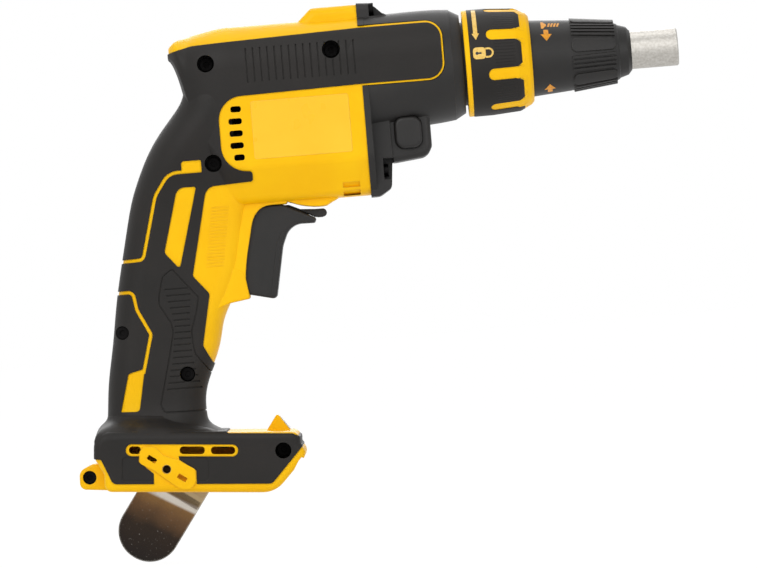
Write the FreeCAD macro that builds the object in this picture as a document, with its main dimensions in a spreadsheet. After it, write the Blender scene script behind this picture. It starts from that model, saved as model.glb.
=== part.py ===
import FreeCAD, Part
import math
import os
import re

import Sketcher
from FreeCAD import Vector

# A cordless drywall screwdriver, bare of its battery. The origin is the centre of the nose tube's
# mouth, +X runs forward along the spindle, +Y to the tool's left and +Z up. Millimetres.

# Driving sizes. "back" counts from the split plane between gear case and clamshell towards the
# rear, "drop" counts down from the spindle axis.
SIZES = {
    # nose, from the mouth to the split plane
    "tube_radius": 9.4,
    "tube_reach": 23.5,
    "tube_bore": 7.0,
    "mouth_radius": 7.5,
    "mouth_depth": 10.0,
    "tube_neck": 10.5,
    "tube_thread_radius": 10.6,
    "tube_thread_length": 24.0,
    "tube_travel": 3.0,
    "tube_chamfer": 0.6,
    "adjuster_length": 50.0,
    "adjuster_rear_radius": 19.1,
    "adjuster_front_radius": 15.2,
    "adjuster_ring_radius": 13.3,
    "adjuster_pad_height": 0.9,
    "adjuster_overlap": 5.0,
    "adjuster_pad_angle": 76.0,
    "collar_length": 33.1,
    "collar_radius": 26.4,
    "collar_base_radius": 24.6,
    "collar_shoulder_radius": 21.7,
    "collar_finger_width": 6.0,
    "collar_finger_angle": 61.0,
    "collar_gap": 1.4,
    "sleeve_radius": 20.8,
    "journal_radius": 14.6,
    "journal_length": 12.0,
    "case_length": 50.6,
    "case_front_radius": 27.4,
    # clamshell body
    "body_half_width": 29.0,
    "body_top": 28.0,
    "body_drop": 62.0,
    "body_length": 95.6,
    "body_straight": 63.0,
    "crown_radius": 21.0,
    "fold_rise": 19.0,
    "fold_radius": 8.0,
    "keel_half_width": 17.5,
    "ridge_height": 6.2,
    "ridge_half_width": 14.5,
    "ridge_length": 27.0,
    "wall": 2.8,
    "skin_step": 0.6,
    "skin": 1.7,
    "groove_depth": 0.5,
    "groove_width": 0.7,
    "barrel_groove_pitch": 3.57,
    "pad_groove_pitch": 3.1,
    "tongue_length": 41.4,
    "tongue_top": 22.4,
    "tongue_drop": 7.4,
    "tongue_corner": 8.5,
    "tongue_edge": 0.9,
    # handle
    "handle_back": 82.1,
    "handle_lean": 12.5,
    "lip_half_width": 15.0,
    # foot, drawn about the belt hook's screw hole and tipped nose down
    "foot_back": 111.9,
    "foot_drop": 188.8,
    "foot_tip": 4.8,
    "foot_half_width": 37.5,
    "foot_floor": 12.0,
    "foot_roof": 19.3,
    "foot_edge": 4.0,
    "hook_pad_height": 0.5,
    "bay_half_width": 31.0,
    "bay_height": 13.0,
    "rail_width": 4.5,
    "rail_thickness": 3.0,
    "lug_half_width": 12.0,
    "lamp_half_width": 8.0,
    "lens_half_width": 6.0,
    "insert_radius": 3.2,
    "insert_length": 5.4,
    # belt hook
    "hook_half_width": 15.75,
    "hook_offset": 7.5,
    "hook_lean": 35.7,
    "hook_length": 50.3,
    "hook_step": 8.0,
    "hook_thickness": 2.0,
    "hook_screw_radius": 2.0,
    "hook_head_radius": 4.5,
    # spindle and clutch
    "spigot_length": 3.9,
    "plate_thickness": 3.0,
    "gear_gap": 1.5,
    "gear_width": 7.5,
    "gear_module": 0.9,
    "gear_teeth": 40,
    "pinion_teeth": 10,
    "pinion_shift": 0.4,
    "gear_backlash": 0.12,
    "gear_cavity_radius": 20.8,
    "dog_height": 2.0,
    "dog_inner_radius": 11.5,
    "dog_outer_radius": 16.5,
    "spindle_travel": 4.0,
    "jaw_thickness": 5.7,
    "jaw_radius": 17.0,
    "washer_thickness": 1.5,
    "washer_radius": 12.0,
    "bush_length": 24.0,
    "bush_radius": 9.5,
    "seal_length": 3.5,
    "seal_radius": 10.0,
    "sleeve_bore": 8.5,
    "spindle_tail_radius": 4.0,
    "spindle_radius": 6.0,
    "spindle_reach": 18.5,
    "holder_gap": 2.0,
    "holder_radius": 5.5,
    "holder_setback": 12.0,
    "shank_length": 20.0,
    "socket_depth": 14.0,
    "hex_across": 6.35,
    "magnet_radius": 2.8,
    "magnet_length": 2.5,
    # motor
    "motor_clearance": 16.5,
    "coil_overhang": 5.0,
    "stator_length": 25.0,
    "stator_radius": 22.0,
    "rotor_radius": 11.8,
    "air_gap": 0.5,
    "fan_gap": 2.0,
    "fan_width": 7.0,
    "fan_radius": 20.0,
    "bearing_width": 5.0,
    "bearing_radius": 8.0,
    "shaft_radius": 2.5,
    "vent_pitch": 6.0,
    "controller_rise": 3.0,
    # controls
    "trigger_half_width": 11.5,
    "trigger_travel": 8.0,
    "plunger_radius": 2.5,
    "pin_radius": 1.2,
    "switch_half_width": 10.5,
    "switch_length": 23.0,
    "switch_back": 80.5,
    "boss_half_width": 17.5,
    "button_proud": 3.5,
    # fasteners
    "screw_radius": 1.9,
    "screw_head_radius": 3.2,
    "screw_head_height": 2.4,
    "boss_radius": 4.6,
    "case_screw_radius": 1.7,
    "case_screw_length": 26.0,
    # fits
    "running_fit": 0.05,
    "sliding_fit": 0.15,
    "loose_fit": 0.3,
}

document = FreeCAD.newDocument("drywall_screwdriver")
sheet = document.addObject("Spreadsheet::Sheet", "Sizes")
for row, (alias, number) in enumerate(SIZES.items(), start=1):
    sheet.set("A%d" % row, alias)
    sheet.set("B%d" % row, str(number))
    sheet.setAlias("B%d" % row, alias)
document.recompute()


def bound(formula):
    """Turn plain size names into references to the sheet."""
    return re.sub(r"[a-z][a-z0-9_]*", lambda word: "Sizes." + word.group(0), formula)


def size(formula):
    """Work out a formula of size names."""
    return float(sheet.evalExpression(bound(formula)))


COLLAR_FRONT = "tube_reach + adjuster_length"
COLLAR_REAR = COLLAR_FRONT + " + collar_length"
CASE_FRONT = COLLAR_REAR + " + collar_gap"
SPLIT = CASE_FRONT + " + case_length"
split_x = -size(SPLIT)

# The drive line, each place counted behind the mouth.
PLATE_FRONT = SPLIT + " + spigot_length"
PLATE_REAR = PLATE_FRONT + " + plate_thickness"
GEAR_REAR = PLATE_FRONT + " - gear_gap"
GEAR_FRONT = GEAR_REAR + " - gear_width"
DOG_FRONT = GEAR_FRONT + " - dog_height"
JAW_DOG_REAR = DOG_FRONT + " - spindle_travel - loose_fit"
JAW_REAR = JAW_DOG_REAR + " - dog_height"
JAW_FRONT = JAW_REAR + " - jaw_thickness"
BUSH_REAR = JAW_FRONT + " - washer_thickness"
BUSH_FRONT = BUSH_REAR + " - bush_length"
SEAL_FRONT = BUSH_FRONT + " - seal_length"
SPINDLE_FRONT = COLLAR_FRONT + " + spindle_reach"
HOLDER_REAR = SPINDLE_FRONT + " - holder_gap"
SHANK_REAR = HOLDER_REAR + " + shank_length"
COIL_FRONT = PLATE_REAR + " + motor_clearance"
CORE_FRONT = COIL_FRONT + " + coil_overhang"
CORE_REAR = CORE_FRONT + " + stator_length"
COIL_REAR = CORE_REAR + " + coil_overhang"
FAN_FRONT = COIL_REAR + " + fan_gap"
FAN_REAR = FAN_FRONT + " + fan_width"
REAR_BEARING_FRONT = FAN_REAR + " + fan_gap"
REAR_BEARING_REAR = REAR_BEARING_FRONT + " + bearing_width"
FRONT_BEARING_REAR = PLATE_REAR + " + bearing_width"
MOTOR_DROP = "(gear_module * (pinion_teeth + gear_teeth) / 2)"

# Longer than the tool, for cuts that go right through it.
FAR = 400.0

nodes = []


def node(label, shape):
    """Keep a finished shape as a sub-part."""
    item = document.addObject("Part::Feature", label)
    item.Label = label
    item.Shape = shape
    nodes.append(item)
    return item


def rounded_wire(corners, place):
    """Join corners (u, v, radius) by lines and tangent arcs; place maps (u, v) into space."""
    flat = [Vector(u, v, 0) for u, v, _ in corners]
    count = len(corners)
    trims = []
    for index, (_, _, radius) in enumerate(corners):
        here = flat[index]
        before = (flat[index - 1] - here).normalize()
        after = (flat[(index + 1) % count] - here).normalize()
        half = before.getAngle(after) / 2
        reach = radius / math.tan(half) if radius > 0 else 0
        middle = here
        if radius > 0:
            bisector = (before + after).normalize()
            middle = here + bisector * (radius / math.sin(half) - radius)
        trims.append((here + before * reach, middle, here + after * reach))
    edges = []
    for index, (_, _, radius) in enumerate(corners):
        start, middle, end = trims[index]
        if radius > 0:
            edges.append(Part.Arc(*[place(p.x, p.y) for p in (start, middle, end)]).toShape())
        next_start = trims[(index + 1) % count][0]
        if end.distanceToPoint(next_start) > 1e-6:
            line = Part.LineSegment(place(end.x, end.y), place(next_start.x, next_start.y))
            edges.append(line.toShape())
    return Part.Wire(edges)


def on_side(back, height):
    """A point of the side view, by its distance behind the split plane and its height."""
    return Vector(split_x - back, 0, height)


def slab(wire, y_low, y_high):
    """Extrude a side-view outline across the tool."""
    face = Part.Face(wire)
    face.translate(Vector(0, y_low, 0))
    return face.extrude(Vector(0, y_high - y_low, 0))


def side_slab(corners, y_low, y_high):
    """Extrude side-view corners (back, height, radius)."""
    return slab(rounded_wire(corners, on_side), y_low, y_high)


def body_wire(back, half_width, top, drop, inset):
    """Cross-section of the clamshell body: round on top, flat sided and drawn in below."""
    half = half_width - inset
    top = top - inset
    bottom = -drop + inset
    height = top - bottom
    crown = min(size("crown_radius"), 0.85 * half, 0.55 * height)
    fold = bottom + size("fold_rise") / size("body_drop + body_top") * height
    keel = size("keel_half_width") / size("body_half_width") * half
    soft = min(size("fold_radius"), 0.3 * half, 0.12 * height)
    corners = [(half, top, crown), (half, fold, soft), (keel, bottom, soft),
               (-keel, bottom, soft), (-half, fold, soft), (-half, top, crown)]
    return rounded_wire(corners, lambda y, z: Vector(split_x - back, y, z))


def body_form(inset):
    """The motor housing: a straight barrel with a domed rear end."""
    half, top, drop = size("body_half_width"), size("body_top"), size("body_drop")
    length, straight = size("body_length"), size("body_straight")
    front = -size("tongue_length")
    barrel = Part.Face(body_wire(front, half, top, drop, inset)).extrude(Vector(front - straight, 0, 0))
    dome = length - straight
    stations = [
        body_wire(straight, half, top, drop, inset),
        body_wire(straight + 0.12 * dome, half, top, drop - 0.3, inset),
        body_wire(straight + 0.34 * dome, half - 0.8, top - 0.9, drop - 7, inset),
        body_wire(straight + 0.58 * dome, half - 3.0, top - 2.3, drop - 24, inset),
        body_wire(straight + 0.80 * dome - 0.2 * inset, half - 7.5, top - 4, drop - 56, inset),
        body_wire(straight + 0.93 * dome - 0.5 * inset, half - 13.5, top - 6, drop - 72, inset),
        body_wire(length - inset, half - 19, top - 8.5, drop - 75.5, 0.3 * inset),
    ]
    return barrel.fuse(Part.makeLoft(stations, True, False))


# Handle stations: drop below the axis, reach behind and before the leaning centre line, half width.
GRIP = [
    (-11.0, 13.7, 22.0, 22.0),
    (-4.0, 8.9, 24.0, 25.0),
    (3.0, 6.4, 26.0, 27.3),
    (10.0, 7.9, 29.0, 28.4),
    (17.0, 12.2, 31.0, 28.4),
    (26.0, 17.4, 33.0, 27.6),
    (40.0, 22.3, 35.0, 24.8),
    (56.0, 25.2, 36.5, 20.8),
    (75.0, 25.8, 36.5, 18.4),
    (97.0, 26.0, 36.0, 17.6),
    (114.0, 25.4, 31.0, 17.5),
    (133.0, 24.6, 29.4, 17.5),
    (147.0, 24.0, 26.2, 17.6),
    (159.0, 22.6, 26.4, 18.2),
    (166.0, 22.2, 28.4, 21.0),
    (171.0, 24.4, 34.6, 27.0),
    (175.0, 25.8, 42.5, 33.5),
    (178.5, 25.4, 49.5, 36.6),
]


def handle_wire(drop, behind, before, half_width, inset):
    """Level section of the handle."""
    middle = split_x - size("handle_back") - drop * math.tan(math.radians(size("handle_lean")))
    rear, front, half = middle - behind + inset, middle + before - inset, half_width - inset
    soft = min(0.74 * half, 0.47 * (front - rear))
    corners = [(rear, -half, soft), (front, -half, soft), (front, half, soft), (rear, half, soft)]
    return rounded_wire(corners, lambda x, y: Vector(x, y, -drop))


def handle_form(inset):
    """The handle, swept from the motor housing down into the foot."""
    return Part.makeLoft([handle_wire(*station, inset) for station in GRIP], True, False)


def on_foot(forward, rise):
    """A point of the foot's side view, about the belt hook's screw hole."""
    tip = math.radians(size("foot_tip"))
    x = split_x - size("foot_back") + forward * math.cos(tip) + rise * math.sin(tip)
    z = -size("foot_drop") - forward * math.sin(tip) + rise * math.cos(tip)
    return Vector(x, 0, z)


def foot_slab(corners, y_low, y_high):
    """Extrude foot corners (forward, rise, radius)."""
    return slab(rounded_wire(corners, on_foot), y_low, y_high)


def side_rims(solid, half):
    """The edges round a slab's two side faces."""
    return [item for item in solid.Edges
            if abs(abs(item.BoundBox.YMin) - half) < 1e-6 and item.BoundBox.YLength < 1e-6]


def soft_slab(wire, half_width, edge, inset=0.0):
    """A slab about the middle plane with all its long edges rounded."""
    if inset:
        wire = wire.makeOffset2D(-inset)
    half = half_width - inset
    solid = slab(wire, -half, half)
    return solid.makeFillet(edge - min(inset, 0.8 * edge), side_rims(solid, half))


def foot_form(inset):
    """The battery foot with its heel and bumper nose."""
    floor, roof, edge = size("foot_floor"), size("foot_roof"), size("foot_edge")
    corners = [(-36.2, roof - 1.0, 8), (-36.2, 4.5, 5), (-31.5, -3, 3), (-31.5, -floor, 4.4),
               (54, -floor, 14), (70.8, 8.4, 5), (66.2, 13.0, 1.5), (66.2, roof, 4.6)]
    return soft_slab(rounded_wire(corners, on_foot), size("foot_half_width"), edge, inset)


def lug_form(inset):
    """The screw lug behind the heel."""
    floor = size("foot_floor")
    corners = [(-25, 2.5, 3), (-38, 2.3, 5), (-45, -1.4, 5), (-44.6, 0.4 - floor, 4),
               (-25, -floor, 3)]
    return soft_slab(rounded_wire(corners, on_foot), size("lug_half_width"), 2.0, inset)


def lip_form(inset):
    """The lip that guards the trigger's lower end."""
    corners = [(84, -92, 3), (66, -92, 6), (63.6, -108.6, 2.0), (74.6, -110.2, 8), (84, -114, 3)]
    return soft_slab(rounded_wire(corners, on_side), size("lip_half_width"), 1.5, inset)


def ridge_form(inset):
    """The raised ridge on top that carries the upper gear case screws."""
    top = size("body_top + ridge_height")
    length = size("ridge_length")
    corners = [(-8, top, 0), (length - 4, top, 4), (length + 5, size("body_top") - 2, 6),
               (length + 5, 10, 0), (-8, 10, 0)]
    wire = rounded_wire(corners, on_side)
    if inset:
        wire = wire.makeOffset2D(-inset)
    half = size("ridge_half_width") - inset
    solid = slab(wire, -half, half)
    rims = [item for item in side_rims(solid, half) if item.BoundBox.ZMax > size("body_top")]
    return solid.makeFillet(5.0 - inset, rims)


def lamp_form(inset):
    """The wedge on the foot's roof that holds the work light."""
    roof = size("foot_roof")
    corners = [(46.5, roof - 4, 1), (48.6, roof, 1), (53.2, roof + 7.6, 1.6), (55.0, roof + 7.6, 1.6),
               (61.2, roof, 1), (61.2, roof - 4, 1)]
    wire = rounded_wire(corners, on_foot)
    if inset:
        wire = wire.makeOffset2D(-inset)
    half = size("lamp_half_width") - inset
    return slab(wire, -half, half)


def outer_form(inset):
    """The whole clamshell's outside, drawn in by an inset."""
    pieces = [handle_form(inset), foot_form(inset), lug_form(inset), lip_form(inset),
              ridge_form(inset), lamp_form(inset)]
    return body_form(inset).fuse(pieces)


def right_slab(corners):
    """A side-view outline, extruded over the right half."""
    return side_slab(corners, -FAR, 0)


def band(path, width):
    """Corners of a stripe of one width along a path of (u, v, radius) points."""
    left, right = [], []
    points = [Vector(u, v, 0) for u, v, _ in path]
    for index, (_, _, radius) in enumerate(path):
        before = points[index] - points[index - 1] if index else points[1] - points[0]
        after = points[index + 1] - points[index] if index + 1 < len(path) else before
        before.normalize()
        after.normalize()
        normal = Vector(-before.y - after.y, before.x + after.x, 0).normalize()
        turn = before.cross(after).z
        reach = width / 2 / max(0.2, normal.dot(Vector(-before.y, before.x, 0)))
        inner, outer = max(radius - width / 2, 0.2), radius + width / 2
        radii = (inner, outer) if turn > 0 else (outer, inner)
        if radius == 0:
            radii = (0, 0)
        left.append((points[index].x + normal.x * reach, points[index].y + normal.y * reach, radii[0]))
        right.append((points[index].x - normal.x * reach, points[index].y - normal.y * reach, radii[1]))
    return left + right[::-1]


def tongue_corners(margin):
    """Outline of the clamshell's side tongue over the gear case, with a margin outside it."""
    front = -size("tongue_length") - margin
    top, bottom = size("tongue_top") + margin, -size("tongue_drop") - margin
    corner = size("tongue_corner") + margin
    return [(5, top, 0), (front, top, corner), (front, bottom, corner), (5, bottom, 0)]


# Housing screws driven from the right: back, height, recess radius, seat depth and grip length, the
# last two counted from the middle plane.
SCREWS = [
    (76.7, 9.7, 4.3, 12.0, 12.0),
    (14.1, 11.8, 4.5, 12.0, 12.0),
    (76.9, -39.8, 4.3, 12.0, 12.0),
    (129.2, -120.0, 3.4, 9.0, 8.0),
    (98.4, -143.0, 3.8, 9.0, 9.0),
]
# Housing screws in the foot: forward, rise, recess radius, seat depth and grip length.
FOOT_SCREWS = [
    (57.6, 9.4, 4.0, 14.0, 12.0),
    (-39.2, -5.0, 3.4, 6.0, 7.5),
]


def screw_sites():
    """Every housing screw: a point of the middle plane, recess radius, seat depth and grip length."""
    return ([(on_side(back, height), *rest) for back, height, *rest in SCREWS]
            + [(on_foot(ahead, rise), *rest) for ahead, rise, *rest in FOOT_SCREWS])


def rod(centre, radius, y_low, y_high):
    """A cylinder across the tool."""
    return Part.makeCylinder(radius, y_high - y_low, Vector(centre.x, y_low, centre.z), Vector(0, 1, 0))


def overmould_outline():
    """The soft black overmould's side-view area on the right half, with its yellow windows cut out."""
    edge = size("tongue_edge")
    panel_top, panel_bottom = size("tongue_top") - edge, edge - size("tongue_drop")
    front = edge - size("tongue_length")
    corner = size("tongue_corner") - edge
    upper = right_slab([
        (112, 12.5, 0), (84, 19.2, 12), (0, panel_top, 0), (front, panel_top, corner),
        (front, panel_bottom, corner), (0, panel_bottom, 0), (72.4, -7.8, 12), (72.4, -44.8, 13),
        (57.9, -45.2, 1.6), (57.9, -50.2, 1.4), (81.5, -51, 6), (91.9, -94.6, 2), (84.2, -104, 2.5),
        (89.6, -129.5, 3), (85, -139, 1.5), (76, -139.6, 0), (76, -150, 0), (84, -172, 0),
        (160, -172, 0), (160, -40, 0)])
    foot = foot_slab([
        (-60, 24, 0), (26, 24, 0), (30, 17.9, 1.5), (62, 17.9, 2), (75, 12.6, 0), (67.4, 12, 0),
        (52.2, -6.9, 3), (-26.5, -7.4, 3), (-32.5, 4.6, 1), (-60, 6.5, 0)], -FAR, 0)
    windows = [
        right_slab(band([(86, -42.8, 0), (99.5, -42.8, 9), (107.2, -53.5, 12), (115.8, -84.6, 3),
                         (140, -85, 0)], 1.8)),
        right_slab([(82.9, -37.5, 0.8), (92.9, -37.5, 1.5), (92.9, -43.7, 0.5), (82.9, -43.7, 0.8)]),
        right_slab([(86.4, -50.4, 1), (96, -50.4, 5), (105, -82, 3), (97.9, -90.6, 1)]),
        right_slab(band([(150, -100.2, 0), (122.3, -100.2, 3), (121, -109, 5), (114.9, -121.8, 3),
                         (120.2, -141, 0)], 1.8)),
        right_slab([(119.3, -138.5, 0.5), (127.7, -140.5, 2), (133, -159.3, 0.5), (123.6, -159.7, 2)]),
        foot_slab(pill(-20.3, 35.3, 9.4, 3.0), -FAR, 0),
        foot_slab([(-13.3, 10, 0), (-13.9, 3.7, 1), (-6.3, -2.2, 1), (-6.3, -9, 0), (15.1, -9, 0),
                   (14.6, -0.5, 1), (6.1, 4.8, 1), (5.7, 10, 0)], -FAR, 0),
    ]
    return upper.fuse(foot).cut(windows)


# The ribbed pad on the handle: its outline from the lower front round to the upper front.
PAD_EDGE = [
    (86, -161.8, 0), (111.2, -161.2, 2), (112.8, -157.3, 1.5), (106.7, -134.2, 6), (103.7, -121.5, 3),
    (104.5, -116.9, 3), (109.5, -107.7, 2), (109.5, -103.8, 3), (106.8, -93.8, 2), (101.8, -90.4, 1),
    (89.9, -105.4, 1.5), (91.4, -112.3, 6), (94.5, -121.5, 6), (94.5, -127.2, 5), (93.6, -133.6, 4),
    (84, -147.0, 0)]
# Where the pad's ribs end, by height: front end, rear end.
PAD_RIBS = [(-100, 93.5, 106.5), (-118, 95.2, 102.6), (-134, 95.4, 104.8), (-151, 91.5, 109.5)]


def spread(table, height):
    """Read the ends of a rib from a table of heights."""
    for (high, front, rear), (low, low_front, low_rear) in zip(table, table[1:]):
        if low <= height <= high:
            share = (high - height) / (high - low)
            return front + share * (low_front - front), rear + share * (low_rear - rear)
    return table[-1][1:]


def grooves():
    """Shallow marks in the overmould: barrel grooves, the handle's ribbed pad and the foot's panel."""
    wide, deep, pitch = size("groove_width"), size("groove_depth"), size("pad_groove_pitch")
    barrel = []
    for index in range(16):
        back = 2.5 + size("barrel_groove_pitch") * index
        barrel.append(right_slab([(back, 15.8, 0), (back + wide, 15.8, 0), (back + wide, -1.3, 0),
                                  (back, -1.3, 0)]))
    pad = [right_slab(band(PAD_EDGE, wide))]
    for index in range(17):
        height = PAD_RIBS[0][0] - pitch * index
        front, rear = spread(PAD_RIBS, height)
        pad.append(right_slab([(front, height, 0), (rear, height, 0), (rear, height - wide, 0),
                               (front, height - wide, 0)]))
    panel = foot_slab([(-22.1, 6.1, 2), (20.9, 6.1, 3), (20.9, -6.2, 3), (-22.1, -6.2, 2)], -FAR, 0)
    return [Part.makeCompound(barrel).cut(body_form(deep)), Part.makeCompound(pad).cut(handle_form(deep)),
            panel.cut(foot_form(deep))]


def tilted(forward, rise, length, height, angle):
    """Corners of a rectangle on the foot, turned by an angle in degrees."""
    along, across = math.cos(math.radians(angle)), math.sin(math.radians(angle))
    half, tall = length / 2, height / 2
    return [(forward + a * along - b * across, rise + a * across + b * along, 0.4)
            for a, b in ((-half, -tall), (half, -tall), (half, tall), (-half, tall))]


def hook_pad(height):
    """The raised bar on the foot's right side that the hook or a bit clip bolts to."""
    corners = [(-13.4, 8.8, 1), (-11.4, 11.0, 1), (-5.8, 11.0, 2), (-1.8, 6.9, 2), (5.8, 4.5, 2),
               (14.1, 0.1, 2), (14.6, -6.3, 2), (11.8, -9.8, 2), (7.4, -9.9, 2), (2.2, -6.7, 2),
               (-5.9, -0.7, 2), (-13.4, 2.9, 2)]
    half = size("foot_half_width")
    return foot_slab(corners, -half - height, -half + size("skin + 1"))


def side_pockets(base):
    """Shallow pockets in the right shell: clip windows under the label, bumper slot and hook pad windows."""
    pockets = [right_slab([(5.2, high, 0.3), (13.6, high, 0.3), (13.6, low, 0.3), (5.2, low, 0.3)])
               for high, low in ((-54.4, -57.0), (-58.4, -61.0))]
    pockets.append(foot_slab(band([(67.0, 5.9, 0), (63.3, -1.6, 0)], 1.9), -FAR, 0))
    pockets = [pocket.cut(base) for pocket in pockets]
    half = size("foot_half_width")
    for forward, rise in ((-7.3, 5.0), (7.7, -4.2)):
        pockets.append(foot_slab(tilted(forward, rise, 4.8, 2.3, -31), -half - 5, -half + 3.5))
    return pockets


def belly():
    """The swelling under the motor housing, above the trigger's lever."""
    corners = [(18, -50, 2), (46, -50, 2), (43, -61.4, 4), (31, -64.5, 5), (24, -64.7, 3), (18.6, -62.2, 3)]
    return soft_slab(rounded_wire(corners, on_side), 13.0, 1.2)


def pill(left, right, height, radius):
    """Corners of a slot with round ends."""
    soft = 0.98 * radius
    return [(left, height - radius, soft), (right, height - radius, soft),
            (right, height + radius, soft), (left, height + radius, soft)]


def half_space():
    """Everything on the right of the middle plane."""
    return Part.makeBox(2 * FAR, FAR, 2 * FAR, Vector(-1.5 * FAR, -FAR, -FAR))


def mirrored(shape):
    """The same piece on the left side."""
    return shape.mirror(Vector(0, 0, 0), Vector(0, 1, 0))


def shell_area():
    """Side-view area of the clamshell: behind the split plane, and the tongue."""
    rear = side_slab([(0, 100, 0), (300, 100, 0), (300, -300, 0), (0, -300, 0)], -FAR, FAR)
    return rear.fuse(side_slab(tongue_corners(0), -FAR, FAR))


def battery_bay():
    """The channel under the foot that the battery slides into from the front."""
    rear, floor = -26.0, -size("foot_floor")
    roof = floor + size("bay_height")
    ledge = floor + size("rail_thickness")
    half = size("bay_half_width")
    upper = foot_slab([(rear, ledge, 0), (90, ledge, 0), (90, roof, 0), (rear, roof, 1.5)], -half, half)
    mouth = half - size("rail_width")
    lower = foot_slab([(rear, floor - 20, 0), (90, floor - 20, 0), (90, ledge, 0), (rear, ledge, 0)],
                      -mouth, mouth)
    return upper.fuse(lower)


def cavity():
    """The clamshell's hollow inside, with a floor left over the battery bay."""
    hollow = outer_form(size("skin_step + wall"))
    roof = size("bay_height - foot_floor + wall")
    under = foot_slab([(-80, roof, 0), (120, roof, 0), (120, -60, 0), (-80, -60, 0)], -FAR, FAR)
    return hollow.cut(under)


def ribs(hollow):
    """Seats inside the clamshell for the stator, the rear bearing and the switch, and the foot's web."""
    drop = size(MOTOR_DROP)
    plates = []
    for behind in (size(CORE_FRONT) + 1, size(CORE_REAR) - 4):
        plate = Part.makeBox(3, 80, 90, Vector(-behind - 3, -40, size("controller_rise - loose_fit") - 90))
        seat = Part.makeCylinder(size("stator_radius + running_fit"), 20, Vector(-behind - 10, 0, -drop),
                                 Vector(1, 0, 0))
        plates.append(plate.cut(seat))
    rear = Part.makeBox(3, 80, 2 * drop, Vector(-size(REAR_BEARING_FRONT) - 4, -40, -2 * drop))
    seat = Part.makeCylinder(size("bearing_radius + running_fit"), 20,
                             Vector(-size(REAR_BEARING_FRONT) - 10, 0, -drop), Vector(1, 0, 0))
    plates.append(rear.cut(seat))
    for back in (84, 97):
        plate = side_slab([(back, -70, 0), (back + 2.5, -70, 0), (back + 2.5, -100, 0), (back, -100, 0)],
                          -40, 40)
        plates.append(plate.cut(switch_block(size("running_fit"))))
    plates.append(foot_slab([(-24, 1, 0), (40, 1, 0), (40, 16, 0), (-24, 16, 0)], -8, -6))
    return [plate.common(hollow) for plate in plates]


def clamshell():
    """Right and left housing shells with their overmoulds, worked out on the right half."""
    right = half_space()
    area = shell_area().common(right)
    base = outer_form(size("skin")).common(right)
    hollow = cavity().common(right)
    pad = hook_pad(0)
    cover = outer_form(0).common(overmould_outline()).cut([base, pad])
    soft = cover.cut(grooves())
    frame = outer_form(size("skin_step")).common(area).cut([hollow, battery_bay()])
    frame = frame.fuse(ribs(hollow) + [belly().common(right).cut(hollow), pad])
    pockets = side_pockets(base)
    half = frame.cut(openings()).cut([cover] + pockets)
    sites = screw_sites()
    boss_limit = base.common(area)
    bosses = Part.makeCompound([rod(centre, radius + 1.8, -FAR, 0) for centre, radius, _, _ in sites])
    bosses = bosses.common(boss_limit)
    recesses = [rod(centre, radius, -FAR, -seat) for centre, radius, seat, _ in sites]
    holes = [rod(centre, size("screw_radius + loose_fit"), -FAR, 1) for centre, *_ in sites]
    pilots = [rod(centre, size("screw_radius + running_fit"), -1, grip + 0.5) for centre, _, _, grip in sites]
    left_bosses = Part.makeCompound([rod(centre, size("boss_radius"), 0, FAR) for centre, *_ in sites])
    left_bosses = left_bosses.common(mirrored(boss_limit))
    left_half = mirrored(half).fuse(left_bosses).cut(pilots + case_pilots(1))
    mouth = rod(on_foot(0, 0), size("hook_screw_radius + loose_fit"), -FAR, 0)
    seat = insert_body(-1, size("running_fit"))
    raised = hook_pad(size("hook_pad_height")).cut([mouth, seat] + pockets[-2:])
    right_half = half.fuse([bosses, raised]).cut(recesses + holes + case_pilots(-1))
    node("right_housing_shell", right_half)
    node("left_housing_shell", left_half)
    node("right_grip_overmould", soft.cut(recesses))
    node("left_grip_overmould", mirrored(soft))


def openings():
    """Cuts through the clamshell: trigger slot, vents, foot slots, light pocket and insert seats."""
    half = size("trigger_half_width + loose_fit")
    cuts = [side_slab([(34, -61.6, 0), (81.5, -61.6, 0), (81.5, -105.2, 0), (76, -105.2, 0),
                       (68, -130, 0), (34, -130, 0)], -half, half)]
    for index in range(5):
        height = -14.0 - size("vent_pitch") * index
        reach = 5.2 if index in (0, 4) else 6.6
        corners = [(61, height - 1.5, 1.2), (61 + reach, height - 1.5, 1.2),
                   (61 + reach, height + 1.5, 1.2), (61, height + 1.5, 1.2)]
        cuts.append(side_slab(corners, -FAR, FAR))
    for left, right in ((-18.7, -12.8), (6.4, 18.8), (21.8, 33.8)):
        slot = foot_slab(pill(left, right, 9.4, 1.9), -FAR, FAR)
        cuts.append(slot.cut(slab_between(size("foot_half_width - skin - 2"))))
    for side in (-1, 1):
        cuts.append(insert_body(side, size("running_fit")))
        mouth = rod(on_foot(0, 0), size("hook_screw_radius + loose_fit"), 0, FAR)
        cuts.append(mouth if side > 0 else mirrored(mouth))
    cuts.append(lens_block(size("running_fit")))
    cuts.append(lamp_well())
    return cuts


def slab_between(half_width):
    """Everything nearer the middle plane than a half width."""
    return Part.makeBox(2 * FAR, 2 * half_width, 2 * FAR, Vector(-1.5 * FAR, -half_width, -FAR))


def insert_body(side, clearance):
    """A threaded brass insert's outside in the foot wall, on one side."""
    outer = size("foot_half_width - skin_step")
    inner = outer - size("insert_length") - clearance
    body = rod(on_foot(0, 0), size("insert_radius") + clearance, inner, outer - 0.4)
    return body if side > 0 else mirrored(body)


def lens_block(clearance):
    """The work light's lens on the wedge's front slope."""
    roof = size("foot_roof")
    corners = [(56.2, roof + 5.6, 0), (60.6, roof + 0.6, 0), (58.6, roof - 1.2, 0), (54.2, roof + 3.8, 0)]
    half = size("lens_half_width") + clearance
    return foot_slab(corners, -half, half)


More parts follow.
